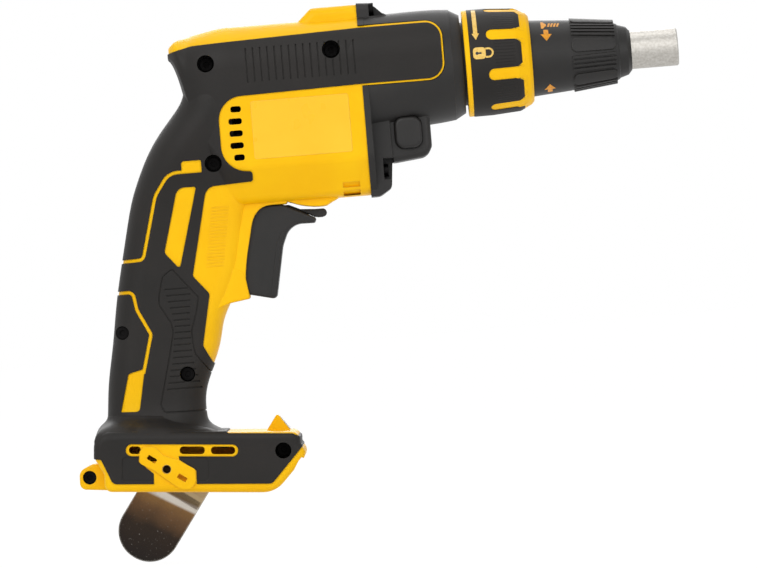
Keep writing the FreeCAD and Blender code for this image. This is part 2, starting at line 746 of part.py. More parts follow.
def lamp_well():
    """The hollow behind the lens that holds the light board."""
    roof = size("foot_roof")
    half = size("lens_half_width") - 1.2
    corners = [(54.6, roof + 3.2, 0), (58.2, roof - 0.9, 0), (56.0, roof - 4.5, 0), (51.5, roof - 0.4, 0)]
    return foot_slab(corners, -half, half)


def switch_block(clearance):
    """The trigger switch's case."""
    half = size("switch_half_width") + clearance
    front, rear = size("switch_back") - clearance, size("switch_back + switch_length") + clearance
    top, bottom = -66 + clearance, -104 - clearance
    return side_slab([(front, top, 1.5), (rear, top, 1.5), (rear, bottom, 1.5), (front, bottom, 1.5)],
                     -half, half)


def turned(label, profile, drop="0", keep=True):
    """A turned piece: profile corners are formulas of the distance behind the mouth and the radius."""
    body = document.addObject("PartDesign::Body", label)
    sketch = body.newObject("Sketcher::SketchObject", label + "_profile")
    plane = next(item for item in body.Origin.OriginFeatures if item.Role == "XZ_Plane")
    sketch.AttachmentSupport = [(plane, "")]
    sketch.MapMode = "FlatFace"
    points = [Vector(-size(behind), size(radius), 0) for behind, radius in profile]
    count = len(points)
    for index in range(count):
        sketch.addGeometry(Part.LineSegment(points[index], points[(index + 1) % count]), False)
    for index in range(count):
        sketch.addConstraint(Sketcher.Constraint("Coincident", index, 2, (index + 1) % count, 1))
    for index, (behind, radius) in enumerate(profile):
        for kind, place, formula, axis in (("DistanceX", points[index].x, "-(%s)" % behind, -2),
                                           ("DistanceY", points[index].y, radius, -1)):
            if abs(place) < 1e-9:
                sketch.addConstraint(Sketcher.Constraint("PointOnObject", index, 1, axis))
                continue
            number = sketch.addConstraint(Sketcher.Constraint(kind, -1, 1, index, 1, place))
            sketch.setExpression("Constraints[%d]" % number, bound(formula))
    turn = body.newObject("PartDesign::Revolution", label + "_turn")
    turn.Profile = sketch
    turn.ReferenceAxis = (sketch, ["H_Axis"])
    turn.Angle = 360
    body.setExpression("Placement.Base.z", bound("-(%s)" % drop))
    if keep:
        nodes.append(body)
    document.recompute()
    return body


def ring_profile(rear, front, inner, outer):
    """Profile of a plain ring."""
    return [(rear, inner), (rear, outer), (front, outer), (front, inner)]


def axle(radius, rear, front, drop=0.0):
    """A cylinder along the tool between two places behind the mouth."""
    return Part.makeCylinder(radius, rear - front, Vector(-rear, 0, -drop), Vector(1, 0, 0))


def hexagon(across, rear, front):
    """A hexagonal bar along the spindle axis."""
    points = [Vector(-rear, across / math.sqrt(3) * math.cos(math.radians(60 * k + 30)),
                     across / math.sqrt(3) * math.sin(math.radians(60 * k + 30))) for k in range(7)]
    return Part.Face(Part.makePolygon(points)).extrude(Vector(rear - front, 0, 0))


def round_copies(shape, count, drop=0.0, start=0.0):
    """Copies of a shape, evenly round an axis along the tool."""
    copies = []
    for index in range(count):
        copy = shape.copy()
        copy.rotate(Vector(0, 0, -drop), Vector(1, 0, 0), start + 360 / count * index)
        copies.append(copy)
    return copies


def level_wire(behind, half, top, bottom, radius):
    """A rounded rectangle square to the spindle axis."""
    corners = [(half, top, radius), (half, bottom, radius), (-half, bottom, radius), (-half, top, radius)]
    return rounded_wire(corners, lambda y, z: Vector(-behind, y, z))


CASE_SCREWS = [(9.0, 30.7, -6.1), (12.0, -50.0, -7.1)]


def case_pilots(side):
    """Pilot holes in the clamshell for the gear case screws of one side."""
    holes = []
    for across, height, head in CASE_SCREWS:
        start = size(SPLIT) + head + size("case_screw_length") + 1
        hole = axle(size("case_screw_radius + running_fit"), start, size(SPLIT) - 1)
        hole.translate(Vector(0, side * across, height))
        holes.append(hole)
    return holes


def case_ridge():
    """The gear case's share of the top ridge, sloping down ahead of the screws."""
    top = size("body_top + ridge_height")
    low = size("body_top")
    corners = [(0, 15, 0), (0, top, 0), (-6.1, top - 0.4, 2), (-9.1, top - 2.2, 2), (-12.6, low + 0.6, 3),
               (-20, low - 4, 0), (-20, 15, 0)]
    half = size("ridge_half_width")
    solid = side_slab(corners, -half, half)
    rims = [item for item in side_rims(solid, half)
            if item.BoundBox.ZMin > low - 6 and item.BoundBox.XLength > 0.5]
    return solid.makeFillet(3.0, rims)


def gear_case():
    """The gear case with its nose sleeve, button boss and screw pockets."""
    half, top = size("body_half_width"), size("body_top")
    split, front = size(SPLIT), size(CASE_FRONT)
    nose = size("case_front_radius")
    main = Part.makeLoft([
        level_wire(split, half - 0.4, top, -30, 20.5),
        level_wire(split - 22, half - 0.7, top, -29.2, 23.0),
        level_wire(split - 38, nose + 0.6, nose + 0.7, -28.4, 25.6),
        level_wire(front + 5, nose, nose + 0.2, -nose - 0.1, 26.5)], True, False)
    tip = Part.makeCone(nose, nose - 2.8, 5, Vector(-front - 5, 0, 0), Vector(1, 0, 0))
    flange = Part.Face(body_wire(-3, half, top, size("body_drop"), 0)).extrude(Vector(-3, 0, 0))
    spigot = Part.Face(body_wire(0, half, top, size("body_drop"), size("skin_step + wall + loose_fit")))
    spigot = spigot.extrude(Vector(-size("spigot_length"), 0, 0))
    lower = side_slab([(0, -10, 0), (0, -62.6, 0), (-4.5, -62.6, 5), (-10.6, -58.8, 3.5), (-12, -44, 2),
                       (-12, -10, 0)], -19, 19)
    boss = size("boss_half_width")
    knuckle = soft_slab(rounded_wire([(-2, -10, 4), (-2, -46.4, 4), (-14, -46.4, 8), (-29.5, -44.7, 6),
                                      (-32.1, -40, 4), (-32.1, -10, 4)], on_side), boss, 3.0)
    sleeve = axle(size("sleeve_radius"), front + 1, size(COLLAR_FRONT + " + adjuster_overlap"))
    journal = axle(size("journal_radius"), front, size(COLLAR_FRONT + " + adjuster_overlap - journal_length"))
    case = main.fuse([tip, flange, spigot, lower, knuckle, case_ridge(), sleeve, journal])
    case = case.cut(case_cuts())
    node("gear_case", case.removeSplitter())


def case_cuts():
    """Bores, tongue recesses, screw pockets and the button's passage of the gear case."""
    split = size(SPLIT)
    drop = size(MOTOR_DROP)
    depth = size("skin_step + wall + loose_fit")
    core = Part.Face(body_wire(-size("tongue_length") - 5, size("body_half_width"), size("body_top"),
                               size("body_drop"), depth)).extrude(Vector(-size("tongue_length") - 5, 0, 0))
    tongues = side_slab(tongue_corners(size("loose_fit")), -FAR, FAR).common(
        side_slab([(-80, 60, 0), (0, 60, 0), (0, -40, 0), (-80, -40, 0)], -FAR, FAR)).cut(core)
    rear = split + size("spigot_length") + 1
    cuts = [tongues,
            axle(size("gear_cavity_radius"), rear, size(BUSH_REAR)),
            axle(size("bush_radius"), rear, size(BUSH_FRONT)),
            axle(size("seal_radius"), rear, size(SEAL_FRONT)),
            axle(size("sleeve_bore"), rear, 0),
            axle(size("gear_module * (pinion_teeth / 2 + 1) + 1.3"), rear, size(GEAR_FRONT) - 1, drop),
            reversing_body(size("sliding_fit"), 60)]
    lower_well = side_slab([(10, -34, 0), (-8.5, -34, 0), (-8.5, -58, 0), (10, -58, 0)], -7.5, 7.5)
    cuts.append(lower_well)
    for side in (-1, 1):
        for across, height, head in CASE_SCREWS:
            pocket = 7.0 if height > 0 else 5.4
            low, high = (-3.6, 12) if height > 0 else (-4.6, 6)
            box = side_slab([(head, height + low, 0), (head, height + high, 0),
                             (head - pocket, height + high, 0), (head - pocket, height + low, 0)],
                            across - 3.6, FAR)
            hole = axle(size("case_screw_radius + loose_fit"), split + 20, split + head - 1)
            hole.translate(Vector(0, across, height))
            cuts += [box, hole] if side > 0 else [mirrored(box), mirrored(hole)]
    return cuts


def reversing_body(clearance, half_length):
    """The forward and reverse button's bar across the boss."""
    grow = clearance
    corners = [(-14.1 + grow, -24.2 + grow, 4.5), (-27.6 - grow, -24.2 + grow, 4.5),
               (-27.6 - grow, -40 - grow, 4.5), (-14.1 + grow, -40 - grow, 4.5)]
    return side_slab(corners, -half_length, half_length)


def nose_pieces():
    """Nose tube, depth adjuster and depth lock collar."""
    neck_rear = "tube_reach + tube_neck"
    tube_rear = neck_rear + " + tube_thread_length"
    turned("nose_tube", [
        (tube_rear, "tube_bore"), (tube_rear, "tube_thread_radius"), (neck_rear, "tube_thread_radius"),
        (neck_rear, "tube_radius"), ("tube_chamfer", "tube_radius"), ("0", "tube_radius - tube_chamfer"),
        ("0", "mouth_radius"), ("mouth_depth", "mouth_radius"), ("mouth_depth", "tube_bore")])
    rear = COLLAR_FRONT + " + adjuster_overlap - loose_fit"
    bore_front = COLLAR_FRONT + " + adjuster_overlap - journal_length - 2"
    stop = neck_rear + " - tube_travel - 1"
    core = turned("depth_adjuster_core", [
        (rear, "journal_radius + running_fit"), (rear, "adjuster_rear_radius"),
        (COLLAR_FRONT, "adjuster_rear_radius"),
        ("tube_reach + 31.5", "adjuster_rear_radius - 1.4"), ("tube_reach + 9.5", "adjuster_front_radius"),
        ("tube_reach + 6.5", "adjuster_ring_radius + 0.6"), ("tube_reach + 6", "adjuster_ring_radius"),
        ("tube_reach + 1.8", "adjuster_ring_radius - 1.3"), ("tube_reach + 0.4", "adjuster_ring_radius - 3"),
        ("tube_reach", "tube_radius + 0.6"), ("tube_reach", "tube_radius + sliding_fit"),
        (stop, "tube_radius + sliding_fit"), (stop, "tube_thread_radius + running_fit"),
        (bore_front, "tube_thread_radius + running_fit"), (bore_front, "journal_radius + running_fit")],
        keep=False)
    node("depth_adjuster", core.Shape.fuse(adjuster_grips()).removeSplitter())


def adjuster_grips():
    """Six raised pads and six groups of ribs round the adjuster's cone."""
    high = size("adjuster_pad_height")
    rear, front = size("tube_reach + 30.5"), size("tube_reach + 6.8")
    big, small = size("adjuster_rear_radius") - 1.4, size("adjuster_front_radius") - 0.2
    skin = Part.makeCone(big + high, small + high, rear - front, Vector(-rear, 0, 0), Vector(1, 0, 0))
    skin = skin.cut(Part.makeCone(big - 1.5, small - 1.5, rear - front, Vector(-rear, 0, 0), Vector(1, 0, 0)))
    corners = [(-rear + 1, -3.6, 2.4), (-front - 1, -2.9, 2.4), (-front - 1, 2.9, 2.4), (-rear + 1, 3.6, 2.4)]
    pad_wire = rounded_wire(corners, lambda x, y: Vector(x, y, 0))
    pad = Part.Face(pad_wire).extrude(Vector(0, 0, 40))
    keys = round_copies(pad, 6, start=size("adjuster_pad_angle"))
    for offset in (-3.3, -1.1, 1.1, 3.3):
        rib = Part.makeBox(rear - front - 2, 1.1, 40, Vector(-rear + 1, offset - 0.55, 0))
        keys += round_copies(rib, 6, start=size("adjuster_pad_angle") + 30)
    return [skin.common(key) for key in keys]


def collar_pieces():
    """The yellow lock collar and the rubber grips moulded on it."""
    rear, front = size(COLLAR_REAR), size(COLLAR_FRONT)
    radius, shoulder = size("collar_radius"), size("collar_shoulder_radius")
    bore = size("sleeve_radius + loose_fit")
    lip = size("adjuster_rear_radius + sliding_fit + loose_fit")
    profile = [(-rear, bore, 0), (-rear, radius + 0.2, 0.6), (-rear + 12, radius, 0),
               (-front - 7, radius - 1.1, 4), (-front - 1.4, shoulder + 1.2, 2),
               (-front, shoulder - 0.4, 0.6), (-front, lip, 0), (-front - 3.8, lip, 0),
               (-front - 3.8, bore, 0)]
    wire = rounded_wire(profile, lambda x, r: Vector(x, 0, r))
    ring = Part.Face(wire).revolve(Vector(0, 0, 0), Vector(1, 0, 0), 360)
    base = axle(size("collar_base_radius"), rear + 1, front - 1)
    grip_rear, grip_front = rear - 2.4, front + 3.6
    band_of = axle(radius + 5, grip_rear, grip_front)
    tapered = Part.Face(rounded_wire(
        [(-grip_rear, 10, 0), (-grip_rear, radius + 0.35, 0.5), (-rear + 12, radius + 0.3, 0),
         (-front - 7, radius - 0.7, 4), (-grip_front, shoulder + 2.2, 0.5), (-grip_front, 10, 0)],
        lambda x, r: Vector(x, 0, r))).revolve(Vector(0, 0, 0), Vector(1, 0, 0), 360)
    half = size("collar_finger_width") / 2
    finger = Part.Face(rounded_wire(
        [(-rear + 11.1, -half, 0.95 * half), (-front - 6.5, -half, 3), (-front + 1, -half - 3.5, 0),
         (-front + 1, half + 3.5, 0), (-front - 6.5, half, 3), (-rear + 11.1, half, 0.95 * half)],
        lambda x, y: Vector(x, y, 0))).extrude(Vector(0, 0, 60))
    fingers = round_copies(finger, 8, start=size("collar_finger_angle"))
    grips = tapered.common(band_of).cut([base] + fingers)
    node("lock_collar_grips", grips)
    node("lock_collar", ring.cut(grips))


def spindle_pieces():
    """Spindle, clutch jaw and spring, washer, bush, seal, bit holder and magnet."""
    core = turned("spindle_core", [
        (PLATE_REAR, "0"), (PLATE_REAR, "spindle_tail_radius"), (JAW_FRONT, "spindle_tail_radius"),
        (JAW_FRONT, "spindle_radius"), (SPINDLE_FRONT, "spindle_radius"), (SPINDLE_FRONT, "0")], keep=False)
    socket = hexagon(size("hex_across + sliding_fit"), size(SHANK_REAR) + 1, size(SPINDLE_FRONT) - 1)
    node("spindle", core.Shape.cut(socket))
    jaw = axle(size("jaw_radius"), size(JAW_REAR), size(JAW_FRONT))
    jaw = jaw.fuse(dogs(size(JAW_DOG_REAR), size(JAW_REAR) - 0.5))
    node("clutch_jaw", jaw.cut(axle(size("spindle_tail_radius"), size(JAW_REAR) + 5, size(JAW_FRONT) - 1)))
    bore = "spindle_radius + running_fit"
    turned("thrust_washer", ring_profile(JAW_FRONT, BUSH_REAR, bore, "washer_radius"))
    turned("spindle_bush", ring_profile(BUSH_REAR, BUSH_FRONT, bore, "bush_radius"))
    turned("spindle_seal", ring_profile(BUSH_FRONT, SEAL_FRONT, bore, "seal_radius"))
    body = turned("bit_holder_core", [
        (HOLDER_REAR, "0"), (HOLDER_REAR, "holder_radius - 1"), (HOLDER_REAR + " - 1", "holder_radius"),
        ("holder_setback + 0.8", "holder_radius"), ("holder_setback", "holder_radius - 0.8"),
        ("holder_setback", "0")], keep=False)
    shank = hexagon(size("hex_across"), size(SHANK_REAR), size(HOLDER_REAR) - 1)
    depth = size("holder_setback + socket_depth")
    hole = hexagon(size("hex_across + sliding_fit"), depth, size("holder_setback") - 1)
    seat = axle(size("magnet_radius"), depth + size("magnet_length"), depth - 1)
    node("bit_holder", body.Shape.fuse(shank).cut([hole, seat]))
    coil = coil_spring(size(GEAR_FRONT), size(JAW_REAR), size("spindle_tail_radius + 2.2"), 1.2, 3)
    node("clutch_spring", coil)
    turned("bit_holder_magnet", [
        ("holder_setback + socket_depth + magnet_length", "0"),
        ("holder_setback + socket_depth + magnet_length", "magnet_radius"),
        ("holder_setback + socket_depth", "magnet_radius"), ("holder_setback + socket_depth", "0")])


def dogs(rear, front):
    """Three clutch dogs on a face."""
    inner, outer = size("dog_inner_radius"), size("dog_outer_radius")
    ring = axle(outer, rear, front).cut(axle(inner, rear + 1, front - 1))
    block = Part.makeBox(rear - front, 8, 40, Vector(-rear, -4, 0))
    return [ring.common(item) for item in round_copies(block, 3)]


def gear_wheel(teeth, shift, rear, front, drop, turn):
    """A spur gear blank with involute teeth, one tooth or space set by the turn in degrees."""
    module = size("gear_module")
    pressure = math.radians(20)
    pitch = module * teeth / 2
    base = pitch * math.cos(pressure)
    tip = pitch + module * (0.95 + shift)
    root = pitch - module * (1.2 - shift)
    slack = size("gear_backlash")
    half_tooth = (math.pi / 2 + 2 * shift * math.tan(pressure)) / teeth - slack / 2 / pitch
    involute_at = math.tan(pressure) - pressure
    points = []
    for tooth in range(teeth):
        middle = 2 * math.pi * tooth / teeth + math.radians(turn)
        flank = []
        for step in range(4):
            radius = max(base, root) + (tip - max(base, root)) * step / 3
            angle = math.acos(min(1, base / radius))
            flank.append((radius, half_tooth + involute_at - (math.tan(angle) - angle)))
        flank.insert(0, (root, min(flank[0][1] * 1.06, 0.94 * math.pi / teeth)))
        sides = [(r, -a) for r, a in flank] + [(r, a) for r, a in reversed(flank)]
        points += [(r, middle + a) for r, a in sides]
    corners = [Vector(-rear, r * math.sin(a), r * math.cos(a) - drop) for r, a in points]
    return Part.Face(Part.makePolygon(corners + corners[:1])).extrude(Vector(rear - front, 0, 0))


def gear_pieces():
    """Motor pinion and the drive gear that turns freely on the spindle until the clutch closes."""
    drop = size(MOTOR_DROP)
    shift = size("pinion_shift")
    teeth = int(size("gear_teeth"))
    wheel = gear_wheel(teeth, -shift, size(GEAR_REAR), size(GEAR_FRONT), 0, 180)
    wheel = wheel.fuse(dogs(size(GEAR_FRONT) + 1, size(DOG_FRONT)))
    window = axle(3.6, size(GEAR_REAR) + 1, size(GEAR_FRONT) - 9)
    window.translate(Vector(0, 0, 12.5))
    wheel = wheel.cut(round_copies(window, 6, start=30))
    bore = axle(size("spindle_tail_radius + running_fit"), size(GEAR_REAR) + 9, size(DOG_FRONT) - 1)
    node("drive_gear", wheel.cut(bore))
    pinion_teeth = int(size("pinion_teeth"))
    pinion = gear_wheel(pinion_teeth, shift, size(GEAR_REAR) + 1, size(GEAR_FRONT) - 0.4, drop,
                        180 / pinion_teeth)
    bore = axle(size("shaft_radius"), size(GEAR_REAR) + 9, size(DOG_FRONT) - 9, drop)
    node("motor_pinion", pinion.cut(bore))
    plate = Part.Face(body_wire(size("spigot_length"), size("body_half_width"), size("body_top"),
                                size("body_drop"), size("skin_step + wall + loose_fit")))
    plate = plate.extrude(Vector(-size("plate_thickness"), 0, 0))
    cup = axle(size("bearing_radius") + 2.2, size(FRONT_BEARING_REAR), size(PLATE_REAR) - 1, drop)
    plate = plate.fuse(cup)
    rear = size(FRONT_BEARING_REAR) + 1
    plate = plate.cut([
        axle(size("bearing_radius + running_fit"), rear, size(PLATE_REAR), drop),
        axle(size("shaft_radius") + 3.4, rear, size(PLATE_FRONT) - 1, drop),
        axle(size("spindle_tail_radius + running_fit"), rear, size(PLATE_FRONT) - 1),
        side_slab([(-5, -46, 0), (20, -46, 0), (20, -80, 0), (-5, -80, 0)], -FAR, FAR),
        side_slab([(-5, 22, 0), (20, 22, 0), (20, 80, 0), (-5, 80, 0)], -FAR, FAR)])
    node("gear_case_cover", plate)


def bearing(label, rear, front, drop):
    """A sealed ball bearing with grooved faces."""
    inner, outer = "shaft_radius", "bearing_radius"
    low, high = "shaft_radius + 1.4", "bearing_radius - 1.4"
    turned(label, [(rear, inner), (rear, low), (rear + " - 0.4", low), (rear + " - 0.4", high), (rear, high),
                   (rear, outer), (front, outer), (front, high), (front + " + 0.4", high),
                   (front + " + 0.4", low), (front, low), (front, inner)], drop)


def motor_pieces():
    """Brushless motor: shaft, rotor, fan, stator, windings and bearings."""
    drop = size(MOTOR_DROP)
    turned("motor_shaft", [
        (REAR_BEARING_REAR + " + 1", "0"), (REAR_BEARING_REAR + " + 1", "shaft_radius"),
        (GEAR_FRONT + " - 0.4", "shaft_radius"), (GEAR_FRONT + " - 0.4", "0")], MOTOR_DROP)
    stack = ring_profile(CORE_REAR + " + 1", CORE_FRONT + " - 1", "shaft_radius", "rotor_radius")
    turned("rotor_core", stack, MOTOR_DROP)
    bearing("rear_bearing", REAR_BEARING_REAR, REAR_BEARING_FRONT, MOTOR_DROP)
    bearing("front_bearing", FRONT_BEARING_REAR, PLATE_REAR, MOTOR_DROP)
    rear, front = size(FAN_REAR), size(FAN_FRONT)
    disc = axle(size("fan_radius"), rear, rear - 1.5, drop)
    disc = disc.fuse(axle(size("shaft_radius") + 3, rear, front, drop))
    blade = Part.makeBox(rear - front, 1.2, size("fan_radius") - 6, Vector(-rear, 2.0, 5.5))
    blade.translate(Vector(0, 0, -drop))
    blade.rotate(Vector(0, 0, -drop + 6), Vector(1, 0, 0), 18)
    sweep = axle(size("fan_radius"), rear, front, drop)
    blades = [item.common(sweep) for item in round_copies(blade, 11, drop)]
    fan = disc.fuse(blades).cut(axle(size("shaft_radius"), rear + 1, front - 1, drop))
    node("motor_fan", fan)
    outer, inner = size("stator_radius"), size("rotor_radius + air_gap")
    core_rear, core_front = size(CORE_REAR), size(CORE_FRONT)
    yoke = axle(outer, core_rear, core_front, drop)
    yoke = yoke.cut(axle(outer - 3.4, core_rear + 1, core_front - 1, drop))
    tooth = Part.makeBox(core_rear - core_front, 5.6, outer - inner - 1,
                         Vector(-core_rear, -2.8, inner + 0.2 - drop))
    shoe = axle(inner + 1.8, core_rear, core_front, drop)
    shoe = shoe.cut(axle(inner, core_rear + 1, core_front - 1, drop))
    shoe = shoe.common(Part.makeBox(core_rear - core_front, 9.4, 40, Vector(-core_rear, -4.7, -drop)))
    poles = round_copies(tooth.fuse(shoe), 6, drop)
    bore = axle(inner, core_rear + 1, core_front - 1, drop)
    node("stator_core", yoke.fuse(poles).cut(bore))
    over = size("coil_overhang")
    wide, tall = 12.0, 3.0
    coil = Part.makeBox(core_rear - core_front + 2 * over, wide, tall,
                        Vector(-core_rear - over, -wide / 2, inner + 2.1 - drop))
    coil = coil.makeFillet(2.2, [item for item in coil.Edges if abs(item.BoundBox.ZLength - tall) < 1e-6])
    hole = Part.makeBox(core_rear - core_front + 0.4, 6.0, 12, Vector(-core_rear - 0.2, -3.0, inner - drop))
    node("stator_windings", Part.makeCompound(round_copies(coil.cut(hole), 6, drop)))


def coil_spring(rear, front, radius, wire, turns, height=0.0):
    """A compression spring along the tool."""
    length = rear - front - wire
    helix = Part.makeHelix(length / turns, length, radius)
    start = helix.Edges[0].valueAt(helix.Edges[0].FirstParameter)
    section = Part.Wire(Part.makeCircle(wire / 2, start, Vector(0, 1, 0)))
    spring = Part.Wire(helix.Edges).makePipeShell([section], True, True)
    spring.rotate(Vector(0, 0, 0), Vector(0, 1, 0), 90)
    spring.translate(Vector(-rear + wire / 2, 0, height))
    return spring


PLUNGER_HEIGHT = -84.0


def trigger_pieces():
    """Trigger with its plunger, lock-on lever, pin, return spring and the switch behind it."""
    half = size("trigger_half_width")
    travel = size("trigger_travel")
    back = size("switch_back")
    rear = back - travel - size("loose_fit") - 0.2
    body = soft_slab(rounded_wire([
        (rear, -62.4, 2), (45, -62.4, 2), (28.2, -70.6, 1.2), (29.2, -73, 1.2), (41.5, -72.7, 9),
        (46, -83, 14), (51.2, -109.4, 2.2), (66, -105.8, 2), (rear, -104.4, 2)], on_side), half, 1.0)
    slot = side_slab([(51.6, -50, 0), (51.6, -67.3, 0), (44, -67.3, 0), (34.5, -69.1, 0), (22, -71.5, 0),
                      (22, -50, 0)], -3.6, 3.6)
    pivot = on_side(47.5, -64.8)
    pin_half = half - 2.0
    stem = size("plunger_radius")
    reach = size(SPLIT) + back + 3.5
    plunger = axle(stem, reach, size(SPLIT) + rear - 1)
    plunger.translate(Vector(0, 0, PLUNGER_HEIGHT))
    pin = rod(pivot, size("pin_radius"), -pin_half, pin_half)
    node("trigger", body.cut([slot, pin]).fuse(plunger))
    node("lever_pin", pin)
    arm = side_slab([(50.6, -63.0, 1), (41.5, -63.0, 2), (36, -65.6, 2), (25, -66.4, 0.5), (25, -69.4, 0.5),
                     (35, -68.3, 2), (44, -66.7, 2), (50.6, -66.7, 1)], -3.2, 3.2)
    bar = rod(on_side(24.9, -68.2), 2.0, -7, 7)
    lever = arm.fuse(bar).cut(rod(pivot, size("pin_radius + running_fit"), -20, 20))
    node("trigger_lock_lever", lever)
    case = switch_block(0)
    well = axle(stem + size("sliding_fit"), size(SPLIT) + back + travel + 6, size(SPLIT) + 70)
    well.translate(Vector(0, 0, PLUNGER_HEIGHT))
    node("trigger_switch", case.cut(well))
    spring = coil_spring(size(SPLIT) + back, size(SPLIT) + rear, stem + 1.4, 1.0, 4, PLUNGER_HEIGHT)
    node("trigger_spring", spring)


def control_pieces():
    """Reversing button and the motor controller."""
    half = size("boss_half_width + button_proud")
    bar = reversing_body(0, half)
    node("reversing_button", bar.makeFillet(1.8, side_rims(bar, half)))
    rise = size("controller_rise")
    tray = side_slab([(21, rise, 0), (68.5, rise, 0), (68.5, rise + 17, 1.5), (21, rise + 17, 1.5)], -17, 17)
    well = side_slab([(23, rise + 14, 0), (66.5, rise + 14, 0), (66.5, rise + 30, 0), (23, rise + 30, 0)],
                     -15, 15)
    node("motor_controller", tray.cut(well))


def foot_pieces():
    """Battery terminals, work light, threaded inserts and belt hook."""
    roof = size("bay_height - foot_floor")
    block = foot_slab([(-24, roof, 0), (-24, roof - 9, 1.5), (2, roof - 9, 1.5), (2, roof, 0)], -20, 20)
    blade = [(2, roof - 2.2, 0), (15, roof - 2.2, 1.2), (15, roof - 7.4, 1.2), (2, roof - 7.4, 0)]
    blades = [foot_slab(blade, y - 0.4, y + 0.4) for y in (-15, -9, -3, 3, 9, 15)]
    node("terminal_block", block)
    node("terminal_blades", Part.makeCompound(blades))
    node("led_lens", lens_block(0))
    top = size("foot_roof")
    board = foot_slab([(54.4, top + 3.0, 0), (58.0, top - 1.1, 0), (56.6, top - 2.4, 0),
                       (53.0, top + 1.7, 0)], -3.5, 3.5)
    node("led_board", lamp_well().common(board))
    bore = rod(on_foot(0, 0), size("hook_screw_radius"), -FAR, FAR)
    node("hook_inserts", Part.makeCompound([insert_body(side, 0).cut(bore) for side in (-1, 1)]))
    belt_hook()


def belt_hook():
    """The belt hook on the left side: a strip that steps out past the foot, with a round end."""
    across = math.radians(size("hook_lean"))
    along = Vector(-math.sin(across), 0, -math.cos(across))
    sideways = Vector(math.cos(across), 0, -math.sin(across))
    centre = on_foot(0, 0)
    thick, step = size("hook_thickness"), size("hook_step")
    start, end = -13.0, size("hook_length")
    side = size("foot_half_width")
    bend = math.atan2(step, 6.5) / 2
    shift = thick * math.tan(bend)
    profile = [(start, 0, 0), (8, 0, 2.5), (14.5, step, 2.5 + thick), (end, step, 0), (end, step + thick, 0),
               (14.5 - shift, step + thick, 2.5), (8 - shift, thick, 2.5 + thick), (start, thick, 0)]

    def on_profile(s, y):
        return centre + along * s + Vector(0, side + y, 0) - sideways * 40

    strip = Part.Face(rounded_wire(profile, on_profile)).extrude(sideways * 80)
    half, offset = size("hook_half_width"), size("hook_offset")

    def on_plan(s, n):
        return centre + along * s + sideways * n

    plan = [(start, offset - half, 4), (end, offset - half, 0.98 * half), (end, offset + half, 0.98 * half),
            (start, offset + half, 4)]
    outline = slab(rounded_wire(plan, on_plan), 0, FAR)
    hole = rod(centre, size("hook_screw_radius + loose_fit"), 0, FAR)
    node("belt_hook", strip.common(outline).cut(hole))
    head = rod(centre, size("hook_head_radius"), side + thick, side + thick + 2.6)
    socket = Part.makeCylinder(2.2, 3, Vector(centre.x, side + thick + 1.2, centre.z), Vector(0, 1, 0))
    shank = rod(centre, size("hook_screw_radius - running_fit"),
                side - size("skin_step + insert_length") + 0.6, side + thick + 0.5)
    node("belt_hook_screw", head.fuse(shank).cut(socket))


def fasteners():
    """Housing screws across the tool and gear case screws along it."""
    screws = []
    for centre, _, seat, grip in screw_sites():
        head = rod(centre, size("screw_head_radius"), -seat - size("screw_head_height"), -seat)
        shank = rod(centre, size("screw_radius"), -seat - 0.5, grip)
        socket = rod(centre, 1.4, -seat - 10, -seat - 1.0)
        screws.append(head.fuse(shank).cut(socket))
    node("housing_screws", Part.makeCompound(screws))
    long_screws = []
    for side in (-1, 1):
        for across, height, head_back in CASE_SCREWS:
            start = size(SPLIT) + head_back
            shank = axle(size("case_screw_radius"), start + size("case_screw_length"), start - 0.5)
            head = axle(size("screw_head_radius"), start, start - size("screw_head_height"))
            socket = axle(1.4, start - 1.0, start - 10)
            screw = shank.fuse(head).cut(socket)
            screw.translate(Vector(0, side * across, height))
            long_screws.append(screw)
    node("gear_case_screws", Part.makeCompound(long_screws))


def export():
    """Stop on any failed object or bad shape, then write every sub-part."""
    document.recompute()
    for item in document.Objects:
        if "Invalid" in item.State or "Error" in item.State:
            raise RuntimeError("failed object: " + item.Label)
    bad = [item.Label for item in nodes
           if item.Shape.isNull() or not item.Shape.isValid() or not item.Shape.Solids]
    if bad:
        raise RuntimeError("bad shapes: " + ", ".join(bad))
    os.makedirs("parts", exist_ok=True)
    for item in nodes:
        item.Shape.exportStep("parts/%s.step" % item.Label)


clamshell()
gear_case()
nose_pieces()
collar_pieces()
spindle_pieces()
gear_pieces()
motor_pieces()
trigger_pieces()
control_pieces()
foot_pieces()
fasteners()
export()
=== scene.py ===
"""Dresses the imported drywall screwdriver: finishes, fine forms, printed signs, a bare plate and a studio.

Everything is in metres, in the frame of the solids: the origin is the centre of the nose tube's mouth,
+X runs forward along the spindle, +Y to the tool's left and +Z up. Sizes below are in millimetres
unless a name or a docstring says otherwise.
"""
import logging
import math
from abc import ABC, abstractmethod
from dataclasses import dataclass, field, replace
from enum import Enum
from typing import Callable, ClassVar, Iterable, Sequence

import bmesh
import bpy
from mathutils import Matrix, Vector, geometry
from mathutils.bvhtree import BVHTree

